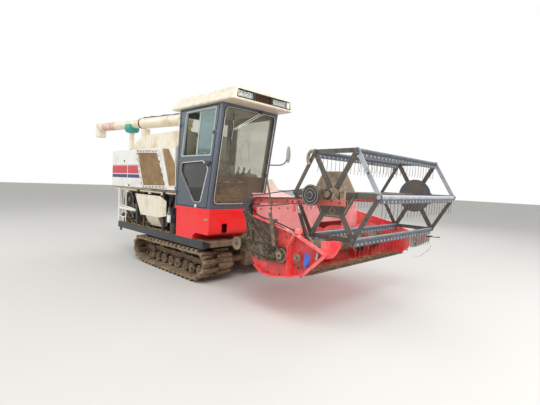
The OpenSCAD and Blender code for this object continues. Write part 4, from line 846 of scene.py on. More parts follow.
def make_cab_shell():
    dressed("cab_frame", "slate_enamel", "chassis", 7)
    dressed("cab_roof", "cream_enamel", "chassis", 14,
        zones=(("black_rubber", lambda c: c.x > 1.05 and c.x < 1.125 and 2.47 < c.z < 2.56),))
    dressed("cab_base", "red_enamel", "chassis", 6)
    dressed("front_step", "soiled_steel", "chassis", 2)

    # Rolled lip round the foot of the roof, and the dark surround of the lamps
    foot = [(1.128, -1.016), (1.128, 0.056), (-0.256, 0.056), (-0.256, -1.016)]
    wire("roof_lip", [[(x, y, 2.447) for x, y in rounded(foot, 0.03)]], 0.011, "cream_enamel", "chassis",
        closed=True)
    bm = bmesh.new()
    outer = rounded([(-0.948, 2.462), (0.028, 2.462), (0.01, 2.568), (-0.93, 2.568)], 0.012, 3)
    inner = rounded([(-0.93, 2.474), (0.01, 2.474), (0.004, 2.556), (-0.926, 2.556)], 0.008, 3)
    rim(bm, outer, inner, lambda y, z: Vector((1.1245, y, z)), (0.009, 0, 0))
    for y in (LAMP_SPANS[0][1] + 0.015, LAMP_SPANS[1][0] - 0.015):
        box(bm, (1.122, y - 0.017, 2.466), (1.134, y + 0.017, 2.562))
    placed("lamp_surround", bm, "black_rubber", "chassis", round_mm=2)

    # Vent between the lamps: a brown louvred grille
    bm = bmesh.new()
    y0, y1 = LAMP_SPANS[0][1] + 0.019, LAMP_SPANS[1][0] - 0.019
    box(bm, (1.091, y0, 2.474), (1.097, y1, 2.556))
    for k in range(6):
        z = 2.481 + k * 0.0138
        box(bm, (1.096, y0, z), (1.12, y1, z + 0.0022), Matrix.Rotation(radians(28), 3, "Y"), (1.108, 0, z))
    for k in range(10):
        y = y0 + (k + 0.5) * (y1 - y0) / 10
        box(bm, (1.104, y, 2.475), (1.117, y + 0.002, 2.556))
    placed("roof_vent", bm, "rusty_steel", "chassis", round_mm=0.6, steps=1)

    # Lamps: a bright bowl with its bulb behind a clear fluted glass
    bowls, glasses = bmesh.new(), bmesh.new()
    for y0, y1 in LAMP_SPANS:
        corners = box(bowls, (1.073, y0 + 0.002, 2.477), (1.118, y1 - 0.002, 2.553))
        front = [f for f in bowls.faces if all(v in corners for v in f.verts)
            and f.calc_center_median().x > 1.117]
        bmesh.ops.inset_region(bowls, faces=front, thickness=0.005, depth=0.0)
        bmesh.ops.inset_region(bowls, faces=front, thickness=0.016, depth=-0.034)
        middle = (y0 + y1) / 2
        rod(bowls, (1.082, middle, 2.515), (1.106, middle, 2.515), 0.009, 12, 0.006)
        box(glasses, (1.118, y0 + 0.003, 2.479), (1.123, y1 - 0.003, 2.551))
    placed("lamp_bowls", bowls, "lamp_chrome", "chassis", round_mm=1)
    placed("lamp_glasses", glasses, "lamp_glass", "chassis", ("roof_lamps",), round_mm=1.5)

    # Red base: folded lip on top, notch edge and bolts; step with raised treads
    bm = bmesh.new()
    for z in (1.006, 1.038):
        rod(bm, (-0.2, -0.9615, z), (0.655, -0.9615, z), 0.0028, 8)
        rod(bm, (0.6665, -0.955, z), (0.6665, 0.035, z), 0.0028, 8)
    bolts(bm, [(x, 0.985) for x in (-0.12, 0.16, 0.44, 0.61)], SIDE_Y, -1)
    for y in (-0.88, -0.5, -0.12):
        bolt(bm, (0.66, y, 0.965), (1, 0, 0), 0.009)
    placed("base_trim", bm, "red_enamel", "chassis", round_mm=0.8, steps=1)
    bm = bmesh.new()
    for k in range(22):
        for j in range(3):
            x, y = 0.35 + 0.075 * (k % 5), -0.92 + 0.026 * k
            box(bm, (x, y - 0.014, 0.608), (x + 0.03, y - 0.01, 0.6105),
                Matrix.Rotation(radians(45 if (k + j) % 2 else -45), 3, "Z"), (x + 0.015, y - 0.012, 0.61))
    placed("step_treads", bm, "soiled_steel", "chassis")
    # Small green spot of film
    bm = bmesh.new()
    outline = rounded([(0.545, 0.89), (0.625, 0.896), (0.622, 0.918), (0.542, 0.912)], 0.006, 3)
    plate(bm, outline, -0.9606, SIDE_Y)
    placed("base_spot", bm, "spot_paint", "chassis")


class HARVESTER_OT_cab_shell(bpy.types.Operator):
    """Cab frame, roof with its rim and lamps, red base and front step"""

    bl_idname = "harvester.cab_shell"
    bl_label = "Cab shell"

    def execute(self, context):
        make_cab_shell()
        return {"FINISHED"}


def make_cab_glazing():
    # Windscreen with a rounded seal and a pale filler strip in it; the strip's pale colour is a painted
    # highlight on the seal
    outline = rounded(SCREEN_OUTLINE, 0.075, 7)
    bm = bmesh.new()
    outer = rounded(grown(SCREEN_OUTLINE, 0.004), 0.004, 7)
    rim(bm, outer, rounded(grown(SCREEN_OUTLINE, -0.012), 0.07, 7), lambda y, u: on_front(y, u, -0.012),
        on_front(0, 0, 0.0) - on_front(0, 0, -0.0135))
    placed("windscreen_corners", bm, "slate_enamel", "chassis", round_mm=2)
    wire("windscreen_seal", [[on_front(y, u, 0.002) for y, u in outline]], 0.011, "black_rubber", "chassis",
        closed=True)
    # pale strip along the seal: a painted highlight
    wire("windscreen_bead", [[on_front(y, u, 0.011) for y,
        u in rounded(grown(SCREEN_OUTLINE, -0.003), 0.073, 7)]], 0.0042, "pale_rubber", "chassis",
        closed=True)
    bm = bmesh.new()
    face = bm.faces.new([bm.verts.new(on_front(y, u, -0.02)) for y, u in SCREEN_OUTLINE])
    out = bmesh.ops.extrude_face_region(bm, geom=[face])["geom"]
    bmesh.ops.translate(bm, verts=[g for g in out if isinstance(g, bmesh.types.BMVert)],
        vec=on_front(0, 0, 0) - on_front(0, 0, 0.005))
    plate(bm, [(-0.074, 1.5003), (0.6153, 1.5003), (0.7597, 2.3697), (-0.0237, 2.3697)], 0.015, 0.02)
    plate(bm, [(-0.1543, 1.7503), (-0.1202, 2.3397), (-0.1152, 2.3397), (-0.1493, 1.7503)], -0.8397,
        -0.0803)
    placed("cab_panes", bm, "tinted_glass", "chassis", ("cab_glass",))
    left_window = [(-0.074, 1.5), (0.6155, 1.5), (0.76, 2.37), (-0.024, 2.37)]
    wire("left_seal", [[(x, 0.041, z) for x, z in rounded(left_window, 0.05)]], 0.01, "black_rubber",
        "chassis", closed=True)

    # Door with its two windows
    dressed("cab_door", "slate_enamel", "door", 5)
    bm = bmesh.new()
    rim(bm, rounded(grown(DOOR_WINDOW, 0.006), 0.022, 4), rounded(grown(DOOR_WINDOW, -0.013), 0.012, 4),
        on_side(-0.966), (0, 0.03, 0))
    for a, b, w in (((0.395, 2.372), (0.313, 1.768), 0.012), ((0.367, 2.372), (0.285, 1.768), 0.01)):
        y = -0.956 if w > 0.011 else -0.945
        plate(bm, [(a[0] - w, a[1]), (a[0] + w, a[1]), (b[0] + w, b[1]), (b[0] - w, b[1])], y, y + 0.012)
    box(bm, (0.02, -0.95, 1.768), (0.68, -0.938, 1.779))
    box(bm, (0.06, -0.95, 2.364), (0.74, -0.938, 2.374))
    placed("sliding_window_frame", bm, "grey_green_channel", "door", round_mm=1.2)
    bm = bmesh.new()
    box(bm, (0.69, -0.972, 2.04), (0.722, -0.955, 2.075))
    box(bm, (0.3, -0.966, 2.02), (0.322, -0.952, 2.06))
    placed("window_latches", bm, "moulded_abs", "door", round_mm=3)
    # the side glass's greenish film is a painted reflection
    pane("front_pane", [(0.313, 1.778), (0.664, 1.778), (0.745, 2.366), (0.395, 2.366)], -0.952, -0.948,
        "side_glass", "door")
    pane("slid_pane", [(0.285, 1.778), (0.655, 1.778), (0.738, 2.366), (0.367, 2.366)], -0.9425, -0.9385,
        "side_glass", "door", ("door_glass",))
    pane("low_pane", rounded(grown(DOOR_LOW_WINDOW, -0.002), 0.03, 4), -0.944, -0.939, "low_glass", "door")
    low = rounded(grown(DOOR_LOW_WINDOW, 0.001), 0.055, 5)
    wire("low_seal", [[(x, SIDE_Y, z) for x, z in low]], 0.009, "pale_rubber", "door", closed=True)
    wire("low_seal_core", [[(x, -0.9655, z) for x, z in rounded(grown(DOOR_LOW_WINDOW, -0.004), 0.05, 5)]],
        0.0045, "black_rubber", "door", closed=True)
    # Rubber lip round the doorway
    doorway = [(-0.163, 1.062), (-0.092, 2.408), (0.812, 2.408), (0.59, 1.062)]
    wire("door_lip", [[(x, -0.961, z) for x, z in rounded(grown(doorway, 0.0005), 0.03)]], 0.0035,
        "black_rubber", "door", closed=True)
    # Pull handle in its dished plate, lock, and the pale catch at the foot
    bm = bmesh.new()
    plate(bm, rounded([(0.53, 1.612), (0.668, 1.612), (0.668, 1.69), (0.53, 1.69)], 0.02), -0.9625, -0.9598)
    rod(bm, (0.545, -0.962, 1.64), (0.545, -0.978, 1.64), 0.009, 12)
    rod(bm, (0.655, -0.962, 1.664), (0.655, -0.978, 1.664), 0.009, 12)
    box(bm, (0.538, -0.984, 1.642), (0.662, -0.974, 1.664), Matrix.Rotation(radians(-10), 3, "Y"),
        (0.6, -0.98, 1.653))
    rod(bm, (0.598, -0.962, 1.626), (0.598, -0.966, 1.626), 0.008, 16)
    placed("door_pull", bm, "moulded_abs", "door", round_mm=2.5)
    bm = bmesh.new()
    plate(bm, rounded([(0.318, 1.052), (0.356, 1.052), (0.356, 1.098), (0.318, 1.098)], 0.004, 2), -0.968,
        SIDE_Y)
    placed("door_catch", bm, "white_enamel", "door", round_mm=2)
    bm = bmesh.new()
    screws = ((0.775, 2.07), (0.53, 1.8), (0.7, 2.39), (-0.08, 2.39), (-0.13, 1.71))
    bolts(bm, screws, SIDE_Y, -1, 0.006, False)
    placed("door_screws", bm, "dull_zinc_steel", "door")

    # Wiper: a motor at the top of the windscreen, two parallel arms and a hanging blade
    arm_at, arm_end = on_front(-0.33, 1.366, 0.03), on_front(-0.765, 1.075, 0.036)
    arms = []
    for shift in (0.0, 0.056):
        arms.append([arm_at + Vector((0, shift, -0.004)), arm_end + Vector((0, shift * 0.6, 0.01))])
    wire("wiper_arms", arms, 0.0042, "white_enamel", "chassis")
    bm = bmesh.new()
    rod(bm, on_front(-0.33, 1.366, 0.0), on_front(-0.33, 1.366, 0.034), 0.014, 16)
    rod(bm, on_front(-0.3, 1.366, 0.0), on_front(-0.3, 1.366, 0.034), 0.01, 16)
    box(bm, on_front(-0.345, 1.352, 0.0), on_front(-0.285, 1.388, 0.01))
    placed("wiper_root", bm, "black_rubber", "chassis", round_mm=1.5)
    wire("wiper_blade", [[on_front(-0.772, 1.29, 0.014), on_front(-0.768, 1.075, 0.02),
        on_front(-0.764, 0.86, 0.014)]], 0.0065, "black_rubber", "chassis", smooth=True)
    wire("wiper_bow", [[on_front(-0.771, 1.2, 0.022), on_front(-0.768, 1.075, 0.034),
        on_front(-0.765, 0.95, 0.022)]], 0.0035, "dull_zinc_steel", "chassis", smooth=True)

    # Oval mirror on its stalk at the left front corner
    wire("mirror_stalk", [[(0.735, 0.046, 1.7), (0.8, 0.08, 1.7), (0.9, 0.16, 1.715), (0.94, 0.19, 1.76),
        (0.952, 0.2, 1.86)]], 0.0085, "black_rubber", "chassis", smooth=True)
    bm = bmesh.new()
    shell = bmesh.ops.create_uvsphere(bm, u_segments=32, v_segments=16, radius=1.0)["verts"]
    bmesh.ops.scale(bm, verts=shell, vec=(0.012, 0.045, 0.125))
    bmesh.ops.translate(bm, verts=shell, vec=(0.968, 0.209, 1.862))
    bmesh.ops.bisect_plane(bm, geom=bm.verts[:] + bm.edges[:] + bm.faces[:], plane_co=(0.965, 0, 0),
        plane_no=(-1, 0, 0), clear_outer=True)
    bmesh.ops.contextual_create(bm, geom=[e for e in bm.edges if e.is_boundary])
    placed("mirror_shell", bm, "dusty_grey_steel", "chassis", ("cab_fittings",), crease=40)
    bm = bmesh.new()
    box(bm, (0.722, 0.0405, 1.68), (0.75, 0.052, 1.72))
    rod(bm, (0.955, 0.203, 1.862), (0.966, 0.208, 1.862), 0.012, 16)
    placed("mirror_mounts", bm, "black_rubber", "chassis", round_mm=1.5)


class HARVESTER_OT_cab_glazing(bpy.types.Operator):
    """Windscreen and windows with their seals, the sliding window, the door and the wiper"""

    bl_idname = "harvester.cab_glazing"
    bl_label = "Cab glazing and door"

    def execute(self, context):
        make_cab_glazing()
        return {"FINISHED"}


def cushion(name, low, high, round_m, finish, swell):
    """A padded piece: a rounded block swollen by cloth pressure, its welted edges drawn by its own
    shape."""
    bm = bmesh.new()
    box(bm, low, high)
    bmesh.ops.bevel(bm, geom=bm.edges[:], offset=round_m, segments=4, affect="EDGES", profile=0.5,
        material=-1)
    mesh = bpy.data.meshes.new(name)
    bm.to_mesh(mesh)
    bm.free()
    piece = bpy.data.objects.new(name, mesh)
    scene = bpy.context.scene
    scene.collection.objects.link(piece)
    voxels = piece.modifiers.new("voxels", "REMESH")
    voxels.mode, voxels.voxel_size = "VOXEL", 0.012
    bpy.context.view_layer.update()
    depsgraph = bpy.context.evaluated_depsgraph_get()
    piece.data = bpy.data.meshes.new_from_object(piece.evaluated_get(depsgraph))
    piece.modifiers.clear()
    rest = [v.co.copy() for v in piece.data.vertices]
    pins = piece.vertex_groups.new(name="seams")
    for v in piece.data.vertices:
        edge = sum(1 for i in range(3) if min(v.co[i] - low[i], high[i] - v.co[i]) < round_m * 0.9)
        if edge >= 2 or v.co.z < low[2] + 0.004:
            pins.add([v.index], 1.0, "REPLACE")
    cloth = piece.modifiers.new("cloth", "CLOTH")
    cloth.settings.use_pressure = True
    cloth.settings.uniform_pressure_force = 4.0
    cloth.settings.effector_weights.gravity = 0.0
    cloth.settings.vertex_group_mass = "seams"
    cloth.settings.quality = 6
    for frame_number in range(1, 21):
        scene.frame_set(frame_number)
    depsgraph = bpy.context.evaluated_depsgraph_get()
    piece.data = bpy.data.meshes.new_from_object(piece.evaluated_get(depsgraph))
    piece.modifiers.clear()
    piece.vertex_groups.clear()
    scene.frame_set(1)
    for v, at in zip(piece.data.vertices, rest):
        move = v.co - at
        if move.length > swell:
            v.co = at + move.normalized() * swell
    smooth = piece.modifiers.new("smooth", "SUBSURF")
    smooth.levels = smooth.render_levels = 1
    piece.data.materials.clear()
    piece.data.materials.append(MATERIALS[finish])
    piece.data.shade_smooth()
    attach(piece, "chassis")
    return piece


def make_operator_station():
    cushion("seat_cushion", (-0.01, -0.68, 1.392), (0.41, -0.24, 1.47), 0.03, "grained_vinyl", 0.016)
    back = cushion("seat_back", (-0.11, -0.67, 1.44), (-0.035, -0.25, 1.945), 0.028, "grained_vinyl", 0.014)
    turn = Matrix.Rotation(radians(-4), 4, "Y")
    shift = Matrix.Translation((-0.05, 0, 1.45))
    back.data.transform(shift @ turn @ shift.inverted())
    bm = bmesh.new()
    box(bm, (0.02, -0.64, CAB_FLOOR_Z), (0.38, -0.28, 1.36))
    box(bm, (-0.01, -0.67, 1.36), (0.4, -0.25, 1.384))
    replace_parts(placed("seat_stand", bm, "slate_enamel", "chassis", round_mm=8), "seat")
    bm = bmesh.new()
    outline = [(-0.062, CAB_FLOOR_Z), (0.562, CAB_FLOOR_Z), (0.562, 1.5), (0.53, 1.56), (-0.03, 1.56),
        (-0.062, 1.52)]
    plate(bm, outline, -0.2, -0.015)
    box(bm, (0.52, -0.66, CAB_FLOOR_Z), (0.6, -0.3, 1.4))
    box(bm, (0.5, -0.67, 1.392), (0.612, -0.29, 1.42))
    placed("consoles", bm, "console_enamel", "chassis", ("console",), round_mm=10)
    bm = bmesh.new()
    for x, top in ((0.2, 1.67), (0.33, 1.66), (0.46, 1.63)):
        rod(bm, (x, -0.11, 1.556), (x + 0.015, -0.11, top - 0.05), 0.007, 12)
        turned(bm, [(0.001, 0), (0.009, 0.004), (0.015, 0.026), (0.014, 0.05), (0.008, 0.062),
            (0.001, 0.065)], (x + 0.013, -0.11, top - 0.062), (0.1, 0, 1), 20)
        turned(bm, [(0.001, 0), (0.034, 0), (0.03, 0.012), (0.014, 0.034), (0.001, 0.034)],
            (x, -0.11, 1.5595), (0, 0, 1), 24)
    rod(bm, (0.56, -0.48, 1.416), (0.505, -0.48, 1.61), 0.011, 16)
    turned(bm, [(0.001, 0), (0.02, 0.006), (0.026, 0.045), (0.022, 0.085), (0.001, 0.095)],
        (0.508, -0.48, 1.6), (-0.26, 0, 1), 24)
    placed("levers", bm, "moulded_abs", "chassis", round_mm=0.8)
    # Gauge cluster on the front console
    bm = bmesh.new()
    for y in (-0.6, -0.36):
        turned(bm, [(0.001, 0), (0.038, 0), (0.038, 0.01), (0.033, 0.012), (0.03, 0.007), (0.001, 0.007)],
            (0.556, y, 1.4195), (0, 0, 1), 28)
    placed("gauges", bm, "drawn_aluminium", "chassis")

    # Straw heap on the floor before the console, thrown in loose
    chance = random.Random(23)
    bm = bmesh.new()
    heap = bmesh.ops.create_icosphere(bm, subdivisions=4, radius=1.0)["verts"]
    for v in heap:
        v.co *= 0.86 + 0.28 * chance.random()
    bmesh.ops.smooth_vert(bm, verts=heap, factor=0.5, use_axis_x=True, use_axis_y=True, use_axis_z=True)
    bmesh.ops.scale(bm, verts=heap, vec=(0.095, 0.275, 0.215))
    bmesh.ops.translate(bm, verts=heap, vec=(0.56, -0.56, 1.09))
    for v in heap:
        v.co.z = max(v.co.z, 1.048)
        v.co.x = min(v.co.x, 0.574 + (v.co.z - 1.045) * 0.166)
    placed("straw_heap", bm, "shade_and_soot_brown", "chassis", crease=180)
    bm = bmesh.new()
    for _ in range(bpy.context.scene.harvester.cab_stalks):
        a = chance.uniform(0, 2 * pi)
        r = chance.random() ** 0.5
        y = -0.56 + 0.3 * r * cos(a)
        x = 0.59 + 0.05 * r * sin(a)
        z = 1.06 + 0.255 * (1 - r * r) + chance.uniform(-0.02, 0.045)
        along = direction(chance, (-0.5, 0.5), (-1, 1), (-0.35, 0.6))
        half = chance.uniform(0.02, 0.07)
        p, q = Vector((x, y, z)) - along * half, Vector((x, y, z)) + along * half
        for point in (p, q):
            point.z = max(point.z, 1.05)
            point.x = min(point.x, 0.618 + (point.z - 1.045) * 0.166 - 0.026)
            point.y = max(min(point.y, -0.05), -0.905)
        if (q - p).length > 0.012:
            rod(bm, p, q, chance.uniform(0.0022, 0.0044), 4)
    placed("straw_stalks", bm, "dry_straw", "chassis")


class HARVESTER_OT_operator_station(bpy.types.Operator):
    """Padded seat, consoles with levers, and the straw that lies on the cab's floor"""

    bl_idname = "harvester.operator_station"
    bl_label = "Operator station"

    def execute(self, context):
        make_operator_station()
        return {"FINISHED"}


# Body

SCREEN_FRAME = [(-1.513, 1.881), (-0.766, 1.856), (-0.484, 1.303), (-1.274, 1.282)]


def stripe_plates(bm, spans, z0, z1, y):
    """Flat strips of adhesive film; a span is the x at the lower and at the upper edge, at each end."""
    for (rear_low, rear_high), (front_low, front_high) in spans:
        plate(bm, [(rear_low, z0), (front_low, z0), (front_high, z1), (rear_high, z1)], y - 0.0006, y
            + 0.0002)


def make_side_panels():
    # the panels' foot is turned in below a fold; its underside is painted shade in dusty brown, darker
    # brown toward its front end
    fold_z = 1.262

    def turned_in(co):
        if 1.2 < co.z < fold_z - 0.001 and co.y < -0.93 and not -2.27 < co.x < -2.2:
            co.y += (fold_z - co.z) * 1.1

    dressed("side_panels", "white_enamel", "chassis", 9,
        seams=[((0, 0, fold_z), (0, 0, 1)), ((-1.02, 0, 0), (1, 0, 0))], shape=turned_in,
        zones=(("cream_enamel", lambda c: c.z < 1.16 and -1.56 < c.x < -0.4 and c.z > 0.62
        and c.y > -0.9601), ("painted_shade_brown_enamel", lambda c: 1.19 < c.z < fold_z - 0.004 and c.y < -0.9
        and c.x < -0.1), ("shade_and_soot_brown", lambda c: 1.19 < c.z < fold_z - 0.004 and c.y < -0.9
        and -1.0 < c.x < -0.1)))
    reds, navies, lines = bmesh.new(), bmesh.new(), bmesh.new()
    rear, seam0, seam1 = -2.553, -1.892, -1.868
    slope = (1.274 - 1.513) / (1.282 - 1.881)

    def screen_left(z):
        return -1.274 - 0.062 - (z - 1.282) * slope

    for bm, z0, z1 in ((reds, 1.5, 1.64), (navies, 1.425, 1.486), (lines, 1.646, 1.655)):
        stripe_plates(bm, [((rear, rear), (seam0, seam0)),
            ((seam1, seam1), (screen_left(z0), screen_left(z1)))], z0, z1, SIDE_Y)
    placed("red_stripe", reds, "stripe_red", "chassis")
    placed("navy_stripe", navies, "stripe_navy", "chassis")
    placed("thin_stripe", lines, "stripe_dark_red", "chassis")
    # Rubber fasteners on the panels
    bm = bmesh.new()
    for x, z in ((-2.019, 1.725), (-1.805, 1.29)):
        turned(bm, [(0.001, 0), (0.02, 0), (0.019, 0.006), (0.012, 0.008), (0.011, 0.004), (0.001, 0.004)],
            (x, SIDE_Y + 0.0002, z), (0, -1, 0), 20)
    placed("panel_fasteners", bm, "black_rubber", "chassis")

    # Air screen: a slotted white frame with punched mesh behind it
    dressed("screen_door", "white_enamel", "screen", 4)
    bm = bmesh.new()
    inner = grown(SCREEN_FRAME, -0.02)
    middle = grown(SCREEN_FRAME, -0.0035)
    # the slots are black plates, painted shade of the openings
    for i in range(4):
        a, b = Vector(middle[i]), Vector(middle[(i + 1) % 4])
        n = max(3, int((b - a).length / 0.105))
        lean = atan2(b.y - a.y, b.x - a.x)
        for k in range(n):
            p = a + (b - a) * (k + 0.5) / n
            box(bm, (p.x - 0.03, -0.9735, p.y - 0.0055), (p.x + 0.03, -0.9712, p.y + 0.0055),
                Matrix.Rotation(-lean, 3, "Y"), (p.x, -0.97, p.y))
    placed("screen_slots", bm, "painted_shade_black", "screen")
    bm = bmesh.new()
    plate(bm, inner, -0.9535, -0.95)
    placed("screen_backing", bm, "soot_tan", "screen")
    # wires of the mesh stand 12 mm apart, about twice the real spacing, so that they show
    bm = bmesh.new()
    mesh_strips(bm, inner, 0.012, 0.0022, -0.956)
    placed("screen_mesh", bm, "dusty_wire", "screen")
    bm = bmesh.new()
    for x, z in ((-0.6, 1.5), (-0.69, 1.7)):
        rod(bm, (x, -0.97, z), (x, -0.979, z), 0.013, 20)
        box(bm, (x - 0.004, -0.9835, z - 0.012), (x + 0.004, -0.978, z + 0.012),
            Matrix.Rotation(0.6, 3, "Y"), (x, -0.98, z))
    placed("screen_latches", bm, "black_rubber", "screen", round_mm=1)

    # Tan mesh in the panel between the screen and the cab, in a folded edge
    wedge = [(-0.625, 1.895), (-0.43, 1.895), (-0.222, 1.65), (-0.203, 1.328), (-0.4, 1.316)]
    bm = bmesh.new()
    rim(bm, rounded(grown(wedge, 0.012), 0.02, 3), rounded(grown(wedge, -0.006), 0.012, 3),
        on_side(-0.9645), (0, 0.0046, 0))
    placed("wedge_edge", bm, "cream_enamel", "chassis", round_mm=1.5)
    bm = bmesh.new()
    plate(bm, grown(wedge, -0.004), -0.9608, SIDE_Y)
    placed("wedge_backing", bm, "soot_tan", "chassis")
    bm = bmesh.new()
    mesh_strips(bm, grown(wedge, -0.005), 0.014, 0.0026, -0.9622)
    placed("wedge_mesh", bm, "dusty_wire", "chassis")

    # Rolled edge at the foot of the turned-in panels, with trapped straw
    bm = bmesh.new()
    for x0, x1 in ((-2.56, -1.89), (-1.87, -0.25)):
        box(bm, (x0, -0.914, 1.196), (x1, -0.902, 1.218))
    for k in range(5):
        x = -2.38 + k * 0.42
        box(bm, (x, -0.93, 1.165), (x + 0.05, -0.9, 1.2))
    placed("panel_foot", bm, "cream_enamel", "chassis", round_mm=1.5)
    chance = random.Random(5)
    bm = bmesh.new()
    for _ in range(130):
        x = chance.uniform(-2.5, -0.3)
        at = Vector((x, chance.uniform(-0.92, -0.9), 1.196 + chance.uniform(-0.004, 0.004)))
        stalk(bm, chance, at, direction(chance, (-1, 1), (-0.4, 0.4), (-0.35, 0.1)), (0.02, 0.06), 0.0016)
    placed("trapped_straw", bm, "dry_straw", "chassis")

    # Lower cream panel: bolts and folded edge
    bm = bmesh.new()
    spots = ((-1.5, 1.125), (-1.1, 1.125), (-0.75, 1.125), (-0.52, 1.06), (-0.52, 0.88), (-1.28, 0.84))
    bolts(bm, spots, SIDE_Y + 0.0002, -1)
    placed("lower_panel_bolts", bm, "dull_zinc_steel", "chassis")
    fold = [(-1.537, 1.147), (-0.672, 1.147), (-0.483, 1.078), (-0.483, 0.852), (-0.701, 0.813),
        (-1.317, 0.813)]
    wire("lower_panel_fold", [[(x, -0.957, z) for x, z in rounded(fold, 0.02)]], 0.0055, "cream_enamel",
        "chassis", closed=True)


class HARVESTER_OT_side_panels(bpy.types.Operator):
    """Right side panels with their stripes, the hinged air screen, its mesh and the lower bay's panel"""

    bl_idname = "harvester.side_panels"
    bl_label = "Side panels"

    def execute(self, context):
        make_side_panels()
        return {"FINISHED"}


def mesh_strips(bm, outline, step, width, y):
    """Crossed flat wires that fill a convex outline of (x, z)."""
    low, high = span(outline)
    for turn in (radians(38), radians(-38)):
        across = Vector((cos(turn), sin(turn)))
        normal = Vector((-across.y, across.x))
        middle, reach = (low + high) / 2, (high - low).length / 2
        k = -int(reach / step)
        while k * step < reach:
            at = middle + normal * (k * step)
            ts = []
            for i in range(len(outline)):
                a, b = Vector(outline[i]), Vector(outline[(i + 1) % len(outline)])
                e = b - a
                det = across.x * -e.y + across.y * e.x
                if abs(det) > 1e-9:
                    d = a - at
                    t = (d.x * -e.y + d.y * e.x) / det
                    s = (across.x * d.y - across.y * d.x) / det
                    if 0 <= s <= 1:
                        ts.append(t)
            if len(ts) >= 2 and max(ts) - min(ts) > 0.01:
                p, q = at + across * min(ts), at + across * max(ts)
                n = normal * width / 2
                near = y + (0.0004 if turn > 0 else 0)
                plate(bm, [(v.x, v.y) for v in (p - n, q - n, q + n, p + n)], near, near + 0.0006)
            k += 1


